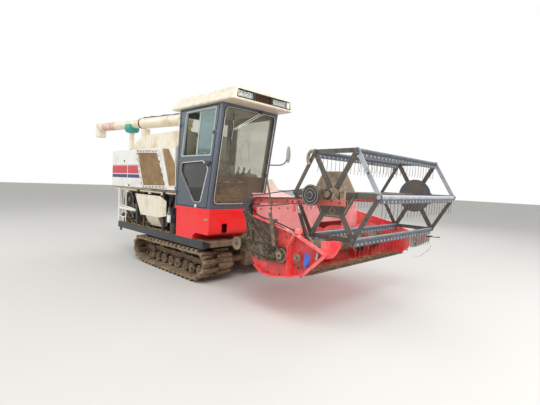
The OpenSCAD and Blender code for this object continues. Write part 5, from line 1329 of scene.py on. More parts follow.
def make_body():
    dressed("grain_tank", "cream_enamel", "chassis", 14, zones=(("black_enamel", lambda c: c.z < 1.22),))
    dressed("thresher", "cream_enamel", "chassis", 10)
    dressed("auger_posts", "cream_enamel", "chassis", 4,
        zones=(("teal_enamel", lambda c: c.z > 2.27 and c.x < -1.9),))
    # the rear rest stands on a wide tube, thicker than the CAD's
    bm = bmesh.new()
    turned(bm, [(0.001, 0), (0.052, 0), (0.052, 0.01), (0.043, 0.018), (0.043, 0.3), (0.001, 0.3)],
        (-1.9796, -0.8477, 1.945), (0, 0, 1), 32)
    placed("rest_tube", bm, "cream_enamel", "chassis", round_mm=2)
    # Tank roof: inspection lid with its rolled edge and two clips
    bm = bmesh.new()
    box(bm, (-1.05, -0.62, 2.164), (-0.72, -0.2, 2.182))
    box(bm, (-1.06, -0.63, 2.164), (-0.71, -0.19, 2.17))
    for x in (-0.98, -0.8):
        box(bm, (x, -0.655, 2.168), (x + 0.03, -0.61, 2.188))
    placed("tank_lid", bm, "cream_enamel", "chassis", round_mm=4)
    bm = bmesh.new()
    # pressed ribs of the tank's left wall and of the thresher's left side
    for x in (-2.2, -1.75, -1.3, -0.85, -0.4):
        box(bm, (x, 0.9285, 0.74), (x + 0.05, 0.9345, 1.3))
    for z in (0.7, 1.32):
        box(bm, (-1.86, 0.9285, z), (0.06, 0.9335, z + 0.03))
    placed("thresher_ribs", bm, "cream_enamel", "chassis", round_mm=4)
    bm = bmesh.new()
    bolts(bm, [(x, z) for x in (-2.42, -1.95, -1.48, -1.01, -0.54, -0.07) for z in (1.24, 0.67) if x > -1.9
        or z > 1], THRESHER_Y, 1)
    for x in (-2.3, -1.8, -1.3, -0.8, -0.3):
        bolt(bm, (x, 0.7, THRESHER_TOP_Z), (0, 0, 1), 0.009)
        bolt(bm, (x, 0.14, THRESHER_TOP_Z), (0, 0, 1), 0.009)
    placed("thresher_bolts", bm, "dull_zinc_steel", "chassis")
    # Left covers over the drives of the thresher, with their pressed grips
    bm = bmesh.new()
    plate(bm, rounded([(-1.62, 0.72), (-0.95, 0.72), (-0.95, 1.28), (-1.62, 1.28)], 0.06), THRESHER_Y,
        0.948)
    plate(bm, rounded([(-0.78, 0.74), (-0.1, 0.74), (-0.1, 1.26), (-0.78, 1.26)], 0.06), THRESHER_Y, 0.948)
    placed("left_covers", bm, "cream_enamel", "chassis", round_mm=8, steps=3)
    reds, navies = bmesh.new(), bmesh.new()
    for a, b in ((-1.6, -0.97), (-0.76, -0.12)):
        plate(reds, [(a, 1.08), (b, 1.08), (b, 1.16), (a, 1.16)], COVER_Y, 0.9486)
        plate(navies, [(a, 1.035), (b, 1.035), (b, 1.07), (a, 1.07)], COVER_Y, 0.9486)
    placed("left_red_stripe", reds, "stripe_red", "chassis")
    placed("left_navy_stripe", navies, "stripe_navy", "chassis")
    bm = bmesh.new()
    for x in (-1.285, -0.44):
        box(bm, (x - 0.07, 0.9475, 0.86), (x + 0.07, 0.96, 0.885))
        bolts(bm, [(x - 0.062, 0.872), (x + 0.062, 0.872)], COVER_Y, 1, 0.006, False)
    corners = [(x, z) for x in (-1.58, -0.99) for z in (1.24, 0.76)] + [(x, z) for x in (-0.74, -0.14)
        for z in (1.22, 0.78)]
    for x, z in corners:
        turned(bm, [(0.001, 0), (0.016, 0), (0.014, 0.006), (0.001, 0.006)], (x, COVER_Y, z), (0, 1, 0), 16)
    placed("left_cover_grips", bm, "black_rubber", "chassis", round_mm=1.5)
    # Straw outlet: folded edge and a curtain of rubber strips
    bm = bmesh.new()
    box(bm, (-2.578, 0.1, 1.384), (-2.565, 0.745, 1.4))
    for y in (0.1, 0.733):
        box(bm, (-2.578, y, 1.14), (-2.565, y + 0.012, 1.39))
    placed("outlet_edge", bm, "cream_enamel", "chassis", round_mm=2)
    bm = bmesh.new()
    chance = random.Random(11)
    for k in range(9):
        y = 0.122 + k * 0.068
        box(bm, (-2.574, y, 1.17 + chance.uniform(0, 0.02)), (-2.57, y + 0.062, 1.384))
    placed("outlet_curtain", bm, "black_rubber", "chassis", round_mm=1, steps=1)
    # Rear lamps; bolts and pressed bars of the rear wall
    bm = bmesh.new()
    for y in (-0.86, -0.02):
        box(bm, (-2.5805, y, 1.3), (REAR_X, y + 0.11, 1.362))
    placed("rear_lamps", bm, "lamp_red", "chassis", round_mm=3)
    bm = bmesh.new()
    for y in (-0.9, -0.48, -0.06):
        for z in (1.3, 1.58, 1.86):
            bolt(bm, (REAR_X - 0.0002, y, z), (-1, 0, 0), 0.008)
    box(bm, (-2.5755, -0.8, 1.42), (REAR_X, -0.14, 1.445))
    box(bm, (-2.5755, -0.8, 1.75), (REAR_X, -0.14, 1.775))
    placed("rear_panel_trim", bm, "cream_enamel", "chassis", round_mm=2)
    # Saddle of the rest: its section, a trough over a folded foot, runs along the tube
    bm = bmesh.new()
    saddle = [(0.083 * sin(a), -0.083 * cos(a)) for a in [radians(8 * k) for k in range(-11, 12)]]
    saddle += [(0.098, -0.004), (0.102, -0.09), (0.08, -0.14), (0.04, -0.152), (-0.04, -0.152),
        (-0.08, -0.14), (-0.102, -0.09), (-0.098, -0.004)]
    ends = [[bm.verts.new((t, a, b)) for a, b in saddle] for t in (-0.08, 0.08)]
    caps = [bm.faces.new(ends[0]), bm.faces.new(ends[1])]
    bmesh.ops.bridge_loops(bm, edges=[e for f in caps for e in f.edges])
    bmesh.ops.transform(bm, verts=bm.verts, matrix=Matrix.Translation((-1.9796, -0.8477, 2.4))
        @ Matrix.Rotation(radians(9.9), 4, "Z"))
    placed("rest_pad", bm, "teal_enamel", "chassis", crease=60, round_mm=6, steps=3)


class HARVESTER_OT_body(bpy.types.Operator):
    """Grain tank, thresher, straw outlet and the rests of the unloading auger"""

    bl_idname = "harvester.body"
    bl_label = "Tank and thresher"

    def execute(self, context):
        make_body()
        return {"FINISHED"}


def make_unloader():
    dressed("auger_turret", "cream_enamel", "turret", 4)
    dressed("unloading_auger", "cream_enamel", "unloader", 8)
    at, yaw = Vector((-0.56, -0.6, 2.4)), radians(180 + 9.9)
    along = Vector((cos(yaw), sin(yaw), 0))
    side = Vector((-along.y, along.x, 0))
    # Dark clamp ring at the joint of the tubes, thinner seam rings
    bm = bmesh.new()
    for t, r, w in ((1.098, 0.0985, 0.03), (1.13, 0.094, 0.012)):
        ring(bm, 0.07, r, w, at + along * t, along)
    placed("tube_clamp", bm, "rusty_steel", "unloader", round_mm=1)
    bm = bmesh.new()
    for t, r in ((0.16, 0.097), (0.7, 0.0965), (1.62, 0.0775), (2.1, 0.0775)):
        ring(bm, 0.07, r, 0.012, at + along * t, along)
    for k in range(10):
        a = k * pi / 5
        across = side * cos(a) + Vector((0, 0, 1)) * sin(a)
        bolt(bm, at + along * 1.094 + across * 0.088, -along, 0.007)
    placed("tube_rings", bm, "cream_enamel", "unloader", round_mm=1)
    # Faded pinkish band near the tip
    bm = bmesh.new()
    ring(bm, 0.06, 0.0766, 0.42, at + along * 1.92, along)
    placed("faded_band", bm, "faded_band_film", "unloader")
    # Hoses and wiring that run along the tube's top, held by clips
    for k, (shift, lift) in enumerate(((0.03, 0.004), (0.05, 0.0))):
        path = []
        for t in [0.05 + 0.1 * i for i in range(11)]:
            up = 0.096 + 0.004 * sin(t * 17 + k)
            path.append(at + along * t + side * shift + Vector((0, 0, up + lift - shift * 0.2)))
        wire("tube_line_%d" % (k + 1), [path], 0.006, "black_rubber", "unloader", smooth=True)
    bm = bmesh.new()
    for t in (0.22, 0.52, 0.82, 1.02):
        p = at + along * t
        box(bm, p + Vector((-0.01, -0.01, 0.092)) - side * 0.01, p + Vector((0.01, 0.01, 0.108))
            + side * 0.06)
    placed("tube_clips", bm, "dull_zinc_steel", "unloader", round_mm=1.5)
    # Turret: slewing ring's bolts and the tube's pivot pins
    bm = bmesh.new()
    for k in range(8):
        a = k * pi / 4 + 0.2
        bolt(bm, (at.x + 0.0985 * cos(a), at.y + 0.0985 * sin(a), 2.1918), (0, 0, 1), 0.0055, False)
    ring(bm, 0.085, 0.0955, 0.01, (at.x, at.y, 2.2), (0, 0, 1))
    placed("turret_bolts", bm, "dusty_iron", "turret")
    bm = bmesh.new()
    for s in (-1, 1):
        p = at + side * s * 0.0981
        rod(bm, p, p + side * s * 0.009, 0.03, 24)
        rod(bm, p, p + side * s * 0.016, 0.013, 6)
    placed("tube_pins", bm, "dusty_iron", "unloader")
    # Spout: rolled foot
    tip = at + along * (2.549 - 0.065)
    corners = [(-0.0655, -0.0725), (0.0655, -0.0725), (0.0655, 0.0725), (-0.0655, 0.0725)]
    loop = [tip + along * a + side * b + Vector((0, 0, -0.186)) for a, b in rounded(corners, 0.01, 3)]
    wire("spout_edge", [loop], 0.0045, "cream_enamel", "unloader", closed=True)


class HARVESTER_OT_unloader(bpy.types.Operator):
    """Turret and tube of the unloading auger, with its rings, hoses, spout and faded band"""

    bl_idname = "harvester.unloader"
    bl_label = "Unloading auger"

    def execute(self, context):
        make_unloader()
        return {"FINISHED"}


# Lower bay


def make_lower_bay():
    dressed("lower_drives", "dusty_iron", "chassis", 2,
        zones=(("black_rubber", lambda c: c.y < -0.867 and c.y > -0.893 and c.x < -1.45 and c.z > 0.62),
        ("greasy_iron", lambda c: abs(c.x + 0.33) < 0.055 and c.y < -0.85)))
    bm = bmesh.new()
    # ribs and fins of the gearbox, and its cap with its bolts
    for k in range(6):
        x = -1.41 + k * 0.09
        box(bm, (x, -0.706, 0.62), (x + 0.012, -0.6898, 0.78))
    turned(bm, [(0.001, 0), (0.082, 0), (0.082, 0.016), (0.06, 0.028), (0.03, 0.034), (0.001, 0.034)],
        (-1.02, -0.6902, 0.7), (0, -1, 0), 32)
    bolt_ring(bm, (-1.02, 0.7), -0.7062, -1, 0.07, 6, 0.009)
    placed("gearbox_ribs", bm, "dusty_iron", "chassis", round_mm=2)

    # Fan housing, drums and brackets under the tank, toward the rear of the bay
    bm = bmesh.new()
    turned(bm, [(0.001, 0), (0.15, 0), (0.17, 0.012), (0.17, 0.06), (0.15, 0.072), (0.06, 0.08),
        (0.001, 0.08)], (-2.06, -0.8, 0.98), (0, -1, 0), 36)
    turned(bm, [(0.001, 0), (0.064, 0), (0.064, 0.05), (0.05, 0.056), (0.001, 0.056)], (-1.7, -0.83, 0.9),
        (0, -1, 0), 28)
    turned(bm, [(0.001, 0), (0.046, 0), (0.046, 0.044), (0.04, 0.05), (0.001, 0.05)],
        (-1.985, -0.835, 0.74), (0, -1, 0), 28)
    box(bm, (-2.2, -0.8, 0.62), (-1.66, -0.7, 0.69))
    box(bm, (-2.12, -0.86, FRAME_TOP_Z), (-2.06, -0.8, 0.9), Matrix.Rotation(radians(8), 3, "Y"),
        (-2.09, -0.83, 0.61))
    box(bm, (-1.86, -0.85, FRAME_TOP_Z), (-1.82, -0.8, 0.96), Matrix.Rotation(radians(-14), 3, "Y"),
        (-1.84, -0.82, 0.61))
    box(bm, (-1.7, -0.84, FRAME_TOP_Z), (-1.66, -0.79, 0.88))
    box(bm, (-2.24, -0.79, 1.12), (-1.56, -0.74, 1.17))
    bolt_ring(bm, (-2.06, 0.98), -0.86, -1, 0.16, 10, 0.008)
    placed("bay_machinery", bm, "dusty_iron", "chassis", round_mm=3)
    # Dark wall at the back of the bay, so that the machinery stands before the thresher's drive case; it is
    # painted shade, the dark of the deep bay
    bm = bmesh.new()
    box(bm, (-2.2, -0.7, FRAME_TOP_Z), (-0.3, -0.69, 1.225))
    for k in range(7):
        x = -2.12 + k * 0.27
        box(bm, (x, -0.712, 0.64), (x + 0.03, -0.699, 1.2))
    placed("bay_wall", bm, "painted_shade_black", "chassis", round_mm=2)
    # Small valves, caps and brackets that crowd the foot of the bay
    chance = random.Random(17)
    for finish, count in (("rusty_steel", 9), ("dusty_grey_steel", 9), ("greasy_iron", 10)):
        bm = bmesh.new()
        for _ in range(count):
            x, z, r = chance.uniform(-2.19, -1.1), chance.uniform(0.64, 0.86), chance.uniform(0.018, 0.045)
            y = chance.uniform(-0.9, -0.8)
            turned(bm, [(0.001, 0), (r, 0), (r, 0.03), (r * 0.6, 0.036), (r * 0.55, 0.055), (0.001, 0.055)],
                (x, y, z), (0, -1, 0), 18)
            rod(bm, (x, y, z), (x, -0.705, z), r * 0.5, 10)
            box(bm, (x - r * 0.4, y - 0.01, FRAME_TOP_Z), (x + r * 0.4, y + 0.006, z - r * 0.5))
        placed("bay_" + finish.split("_")[0] + "_fittings", bm, finish, "chassis", round_mm=1)
    # Belt idler arms and springs
    bm = bmesh.new()
    plate(bm, rounded([(-1.79, 0.96), (-1.74, 0.99), (-1.66, 0.87), (-1.72, 0.85)], 0.015, 3), -0.902,
        -0.894)
    turned(bm, [(0.001, 0), (0.044, 0), (0.044, 0.006), (0.038, 0.01), (0.038, 0.026), (0.044, 0.03),
        (0.044, 0.036), (0.001, 0.036)], (-1.695, -0.896, 0.872), (0, 1, 0), 28)
    placed("belt_idler", bm, "dusty_iron", "chassis", round_mm=1)
    wire("idler_spring", [[(-1.76 - 0.0008 * k + 0.014 * cos(k * 1.05), -0.898 + 0.014 * sin(k * 1.05),
        0.965 - 0.0022 * k) for k in range(90)]], 0.0024, "dusty_iron", "chassis", smooth=True, sides=1)
    # White and teal oil filter with its head; hoses and pipes toward the cab
    bm = bmesh.new()
    turned(bm, [(0.001, 0), (0.034, 0), (0.04, 0.008), (0.04, 0.11), (0.036, 0.118), (0.001, 0.118)],
        (-0.43, -0.914, 0.758), (0, 0, 1), 32)
    placed("filter_bowl", bm, "white_enamel", "chassis", round_mm=1.5)
    bm = bmesh.new()
    turned(bm, [(0.001, 0), (0.042, 0), (0.044, 0.006), (0.044, 0.02), (0.03, 0.034), (0.028, 0.105),
        (0.02, 0.115), (0.001, 0.115)], (-0.43, -0.914, 0.877), (0, 0, 1), 32)
    placed("filter_head", bm, "teal_grey_enamel", "chassis", round_mm=1.5)
    paths = [[(-0.25, -0.905, 1.215), (-0.262, -0.925, 1.08), (-0.3, -0.935, 0.96), (-0.29, -0.925, 0.82),
        (-0.26, -0.9, 0.64)], [(-0.34, -0.9, 1.22), (-0.352, -0.93, 1.1), (-0.385, -0.94, 1.02),
        (-0.4, -0.925, 0.945)], [(-0.44, -0.89, 1.2), (-0.425, -0.92, 1.06), (-0.33, -0.94, 0.92),
        (-0.35, -0.93, 0.74), (-0.42, -0.9, 0.65)],
        [(-0.235, -0.88, 1.19), (-0.23, -0.915, 1.0), (-0.25, -0.93, 0.86), (-0.33, -0.925, 0.72),
        (-0.36, -0.88, 0.64)],]
    wire("bay_hoses", paths, 0.0125, "black_rubber", "chassis", smooth=True)
    wire("bay_pipes", [[(-0.27, -0.87, 1.21), (-0.275, -0.88, 0.9), (-0.3, -0.89, 0.7),
        (-0.42, -0.895, 0.625)], [(-2.2, -0.9, 0.72), (-1.9, -0.905, 0.7), (-1.6, -0.9, 0.655),
        (-1.35, -0.89, 0.64)], [(-2.12, -0.88, 1.2), (-2.08, -0.9, 1.06), (-1.98, -0.905, 0.82),
        (-1.9, -0.89, 0.64)]], 0.008, "dusty_iron", "chassis", smooth=True)
    wire("bay_wires", [[(-2.22, -0.91, 1.19), (-2.15, -0.925, 1.06), (-2.13, -0.92, 0.9),
        (-2.02, -0.925, 0.7), (-1.85, -0.92, 0.63)],
        [(-1.76, -0.915, 1.2), (-1.74, -0.93, 1.1), (-1.8, -0.93, 0.88), (-1.75, -0.925, 0.72),
        (-1.64, -0.92, 0.64)], [(-1.6, -0.915, 1.19), (-1.66, -0.93, 1.05), (-1.62, -0.925, 0.86),
        (-1.6, -0.92, 0.7)]], 0.005, "black_rubber", "chassis", smooth=True)
    # White post's pipe, second post and rail, as thin bent tubes
    wire("rear_tubes", [[(-1.985, -0.93, 1.22), (-1.985, -0.93, 0.905), (-1.985, -0.93, 0.606)],
        [(-2.235, -0.925, 0.905), (-1.985, -0.932, 0.892), (-1.76, -0.925, 0.88), (-1.56, -0.925, 0.86)],
        [(-2.235, -0.93, 0.7), (-2.1, -0.93, 0.69), (-1.985, -0.93, 0.7)]], 0.012, "white_enamel",
        "chassis")
    # Chaff and dust caught on the frame
    chance = random.Random(31)
    bm = bmesh.new()
    for _ in range(260):
        x = chance.uniform(-2.2, -0.35)
        at = Vector((x, chance.uniform(-0.955, -0.905), 0.603 + chance.random() * 0.012))
        stalk(bm, chance, at, direction(chance, (-1, 1), (-0.5, 0.5), (0, 0.25)), (0.015, 0.05), 0.0018)
    placed("frame_chaff", bm, "dry_straw", "chassis")
    # Battery box on the frame's rear
    bm = bmesh.new()
    box(bm, (-2.2, 0.1, FRAME_TOP_Z), (-1.93, 0.4, 0.79))
    box(bm, (-2.21, 0.09, 0.786), (-1.92, 0.41, 0.806))
    placed("battery_box", bm, "black_enamel", "chassis", round_mm=5)


class HARVESTER_OT_lower_bay(bpy.types.Operator):
    """Drives, hoses and filter that show in the open bay between the side panel and the frame"""

    bl_idname = "harvester.lower_bay"
    bl_label = "Lower bay"

    def execute(self, context):
        make_lower_bay()
        return {"FINISHED"}


# Header

END_Y = 1.046  # outer face of the header's end plates
AUGER = (1.93, 0.705)  # axis of the platform auger
REEL_PULLEY = (2.45, -1.1035, 1.332)  # outer face of the reel's pulley
GUARD_PITCH = 0.0762  # three inches, the usual pitch of knife guards
DRIVE, RELAY, IDLE, DRUM, CRANK = (1.413, 0.725), (1.548, 1.09), (1.59, 0.79), (2.088, 0.696), (2.315,
    0.712)


def roller_chain(name, centres, y):
    """A closed roller chain of inch pitch round sprockets given as (x, z, radius), all on the same side."""
    pitch = 0.0254
    path = []
    n = len(centres)
    for i in range(n):
        (x0, z0, r0), (x1, z1, r1) = centres[i], centres[(i + 1) % n]
        d = Vector((x1 - x0, z1 - z0))
        a = atan2(d.y, d.x)
        s = asin(max(-1, min(1, (r0 - r1) / d.length)))
        angle = a - pi / 2 + s
        normal = Vector((cos(angle), sin(angle)))
        path.append((Vector((x0, z0)) + normal * r0, Vector((x1, z1)) + normal * r1, angle))
    points = []
    for i in range(n):
        start, end, angle = path[i]
        before = path[i - 1][2]
        x, z, r = centres[i]
        turn = (angle - before) % (2 * pi)
        steps = max(1, int(turn * r / pitch))
        for k in range(steps):
            t = before + turn * k / steps
            points.append(Vector((x + r * cos(t), z + r * sin(t))))
        steps = max(1, round((end - start).length / pitch))
        for k in range(steps):
            points.append(start + (end - start) * k / steps)
    bm = bmesh.new()
    for i in range(len(points)):
        a, b = points[i], points[(i + 1) % len(points)]
        rod(bm, (a.x, y - 0.0075, a.y), (a.x, y + 0.0075, a.y), 0.0052, 8)
        d = (b - a)
        lean = atan2(d.y, d.x)
        mid = (a + b) / 2
        wide = 0.0095 if i % 2 else 0.0062
        for side in (-1, 1):
            box(bm, (mid.x - d.length / 2 - 0.005, y + side * wide - 0.0011, mid.y - 0.0062),
                (mid.x + d.length / 2 + 0.005, y + side * wide + 0.0011, mid.y + 0.0062),
                Matrix.Rotation(-lean, 3, "Y"), (mid.x, y, mid.y))
    return placed(name, bm, "greasy_chain", "header")


def sprocket(bm, x, z, r, y0, y1, teeth):
    """A toothed plate."""
    outline = []
    for k in range(teeth):
        for a, s in ((0.0, 0.93), (0.3, 1.0), (0.45, 1.0), (0.75, 0.93)):
            t = (k + a) * 2 * pi / teeth
            outline.append((x + r * s * cos(t), z + r * s * sin(t)))
    plate(bm, outline, y0, y1)


def spring(name, a, b, coil_r, wire_r, turns, finish, body):
    a, b = Vector(a), Vector(b)
    along = (b - a).normalized()
    u = along.orthogonal().normalized()
    v = along.cross(u)
    n = turns * 10
    path = [a] + [a + (b - a) * (0.08 + 0.84 * k / n)
        + (u * cos(k * pi / 5) + v * sin(k * pi / 5)) * coil_r for k in range(n + 1)] + [b]
    return wire(name, [path], wire_r, finish, body, smooth=False, sides=2)


def make_header_shell():
    dressed("feeder_house", "bleached_red_enamel", "header", 4,
        zones=(("dusty_iron", lambda c: c.z < 0.66 and c.x < 1.25),))
    dressed("header_trough", "bleached_red_enamel", "header", 3, seams=[((2.13, 0, 0), (1, 0, 0))],
        zones=(("floor_red_enamel", lambda c: c.z < 0.8), ("rusty_red_steel", lambda c: c.x > 2.1305)))
    # the grease of the chains lies on the near end plate; the divider is bare grey with a dirty point
    dressed("header_ends", "header_red_enamel", "header", 3,
        seams=[((0, -1.0435, 0), (0, 1, 0)), ((0, 1.084, 0), (0, 1, 0)), ((2.499, 0, 0), (1, 0, 0))],
        zones=(("greasy_red_enamel", lambda c: -1.047 < c.y < -1.0436),
        ("dusty_iron", lambda c: c.y > 1.0845 and c.x > 2.47),
        ("grey_enamel", lambda c: c.y > 1.03 and 2.4995 < c.x < 2.7475 and c.z < 0.861
        and (c.y < 1.084 or abs(c.z - 0.8068 - (c.x - 2.48) * 0.0436) > 0.013))))
    # Back wall: top rail's bolts, stiffening ribs pressed along it, slot edge over the feeder's mouth
    bm = bmesh.new()
    for k in range(9):
        y = -0.92 + k * 0.23
        box(bm, (1.648, y - 0.012, 1.0), (1.654, y + 0.012, 1.1))
    box(bm, (1.592, -1.035, 1.1685), (1.656, 1.035, 1.1745))
    box(bm, (1.6555, -0.354, 0.952), (1.67, 0.45, 0.966))
    box(bm, (1.6555, -0.354, 0.9), (1.666, -0.34, 0.96))
    placed("back_wall_ribs", bm, "bleached_red_enamel", "header", round_mm=2)
    bm = bmesh.new()
    for k in range(14):
        y = -0.98 + k * 0.15
        bolt(bm, (1.66, y, 1.135), (1, 0, 0), 0.008)
    for k in range(10):
        y = -0.98 + k * 0.217
        bolt(bm, (1.626, y, 1.1745), (0, 0, 1), 0.009)
    placed("back_wall_bolts", bm, "dusty_iron", "header")
    # Pinkish case on the back wall's right end, and its lid
    bm = bmesh.new()
    box(bm, (1.53, -0.985, 1.176), (1.655, -0.86, 1.3))
    box(bm, (1.52, -0.995, 1.298), (1.665, -0.85, 1.31))
    placed("corner_case", bm, "bleached_red_enamel", "header", round_mm=5)
    # Rows of bolts and rivets on the end plates
    bm = bmesh.new()
    edge = [(1.66, 1.035), (1.8, 1.006), (1.95, 0.975), (2.1, 0.944), (2.36, 0.865), (2.5, 0.812),
        (2.58, 0.7), (2.47, 0.6), (2.34, 0.525), (2.05, 0.485), (1.88, 0.478), (1.74, 0.52), (2.235, 0.86),
        (2.24, 0.62)]
    rear = ((1.545, 1.225), (1.58, 1.225), (1.54, 1.195), (1.53, 0.98), (1.55, 0.9), (1.47, 0.8),
        (1.46, 0.69))
    for side in (-1, 1):
        bolts(bm, edge, side * END_Y, side)
        bolts(bm, rear, side * END_Y, side, 0.01)
    placed("end_plate_bolts", bm, "dusty_iron", "header")
    # Bearing housing of the platform auger at the left end
    bm = bmesh.new()
    turned(bm, [(0.0265, 0), (0.085, 0), (0.085, 0.01), (0.052, 0.018), (0.044, 0.04), (0.0265, 0.042)],
        (AUGER[0], END_Y, AUGER[1]), (0, 1, 0), 36)
    bolt_ring(bm, AUGER, END_Y + 0.0125, 1, 0.07, 4, 0.01, pi / 4)
    placed("auger_bearing", bm, "dusty_iron", "header", round_mm=1)

    # Blue triangular plate with its folded foot
    bm = bmesh.new()
    plate(bm, rounded([(2.422, 0.8), (2.486, 0.741), (2.442, 0.664), (2.4, 0.64)], 0.01, 3), -1.098, -1.094)
    box(bm, (2.404, -1.098, 0.64), (2.436, -1.06, 0.645))
    box(bm, (2.404, -1.062, 0.606), (2.436, -1.0465, 0.645))
    placed("blue_plate", bm, "blue_enamel", "header", round_mm=1)
    # Red bracket over the right rail, near the reel's cylinder
    bm = bmesh.new()
    plate(bm, rounded([(2.272, 0.952), (2.33, 0.94), (2.328, 0.985), (2.276, 0.995)], 0.008, 3), -1.098,
        -1.05)
    placed("rail_bracket", bm, "header_red_enamel", "header", round_mm=2)
    # Thin guide wire that hangs from the left divider
    wire("left_guide_wire", [[(2.737, 1.09, 0.752), (2.77, 1.08, 0.69), (2.7, 1.07, 0.59),
        (2.62, 1.06, 0.525), (2.565, 1.05, 0.512)]], 0.0035, "dull_zinc_steel", "header", smooth=True)
    # Skids under the header's floor
    bm = bmesh.new()
    for y in (-0.8, 0.8):
        plate(bm, [(2.29, 0.5265), (2.31, 0.512), (2.05, 0.448), (1.9, 0.4465), (1.9, 0.4565),
            (2.04, 0.4585)], y - 0.06, y + 0.06)
    placed("skids", bm, "soiled_steel", "header", round_mm=2)


class HARVESTER_OT_header_shell(bpy.types.Operator):
    """Feeder house, trough, end plates with their rails, dividers and the blue triangular plate"""

    bl_idname = "harvester.header_shell"
    bl_label = "Header shell"

    def execute(self, context):
        make_header_shell()
        return {"FINISHED"}


def make_cutter():
    lean = radians(11.5)
    a = radians(11.5 - 90)
    start = (AUGER[0] + 0.243 * cos(a), AUGER[1] + 0.243 * sin(a))
    end = (2.33, start[1] + (2.33 - start[0]) * tan(lean))
    turn = Matrix.Rotation(-lean, 4, "Y")
    base = Matrix.Translation((end[0], 0, end[1])) @ turn

    def laid(bm):
        bmesh.ops.transform(bm, matrix=base, verts=bm.verts)
        return bm

    bm = bmesh.new()
    box(bm, (0.001, -1.0385, -0.012), (0.046, 1.0385, 0.0))
    n, half = 27, bpy.context.scene.harvester.guard_width / 2
    for i in range(n):
        y = (i - (n - 1) / 2) * GUARD_PITCH
        guard = box(bm, (0.036, y - half, -0.0118), (0.1245, y + half, 0.0035))
        bmesh.ops.subdivide_edges(bm, edges=[e for e in bm.edges if all(v in guard for v in e.verts)
            and abs(e.verts[0].co.x - e.verts[1].co.x) > 0.05], cuts=2)
        for v in bm.verts:
            if v.co.x > 0.06 and abs(v.co.y - y) < half + 0.001:
                narrow = 0.75 if v.co.x < 0.07 else (0.5 if v.co.x < 0.1 else 0.12)
                v.co.y = y + (v.co.y - y) * narrow
                v.co.z = -0.004 + (v.co.z + 0.004) * (0.35 if v.co.x > 0.1 else 0.9)
        lip = box(bm, (0.04, y - 0.013, 0.0095), (0.1, y + 0.013, 0.0145))
        for v in lip:
            if v.co.x > 0.08:
                v.co.y = y + (v.co.y - y) * 0.3
        box(bm, (0.046, y - 0.007, 0.0), (0.053, y + 0.007, 0.012))
        bolt(bm, (0.026, y, 0.0), (0, 0, 1), 0.008, False)
        bolt(bm, (0.026, y, -0.012), (0, 0, -1), 0.008, False)
    placed("knife_guards", laid(bm), "rusty_red_steel", "header", ("cutter_bar",), round_mm=0.8, steps=1)
    bm = bmesh.new()
    box(bm, (0.036, -1.0, 0.0035), (0.05, 1.0, 0.0065))
    for i in range(n - 1):
        y = (i + 0.5 - (n - 1) / 2) * GUARD_PITCH
        blade = box(bm, (0.05, y - 0.036, 0.004), (0.098, y + 0.036, 0.0062))
        for v in blade:
            if v.co.x > 0.08:
                v.co.y = y + (v.co.y - y) * 0.25
    placed("knife", laid(bm), "greasy_iron", "header")
    bm = bmesh.new()
    for i in range(1, n - 1, 3):
        y = (i - (n - 1) / 2) * GUARD_PITCH
        box(bm, (-0.01, y - 0.022, 0.0065), (0.07, y + 0.022, 0.0115))
        bolt(bm, (0.004, y, 0.0115), (0, 0, 1), 0.008)
    placed("knife_clips", laid(bm), "dusty_iron", "header", round_mm=1)
    # Chaff and stalks on the floor behind the knife
    chance = random.Random(3)
    bm = bmesh.new()
    for _ in range(bpy.context.scene.harvester.caught_stalks):
        y = chance.uniform(-1.02, 1.02)
        x = chance.triangular(-0.34, 0.03, -0.1)
        at = Vector((x, y, 0.002 + chance.random() * 0.014))
        stalk(bm, chance, at, direction(chance, (-1, 1), (-1, 1), (0, 0.22)), (0.02, 0.08),
            radii=(0.0014, 0.0028))
    for v in bm.verts:
        v.co.y = max(-1.036, min(1.036, v.co.y))
    placed("caught_straw", laid(bm), "dry_straw", "header")


class HARVESTER_OT_cutter(bpy.types.Operator):
    """Knife guards, knife sections, hold-down clips and the crop caught on them"""

    bl_idname = "harvester.cutter"
    bl_label = "Cutter bar"

    def execute(self, context):
        make_cutter()
        return {"FINISHED"}


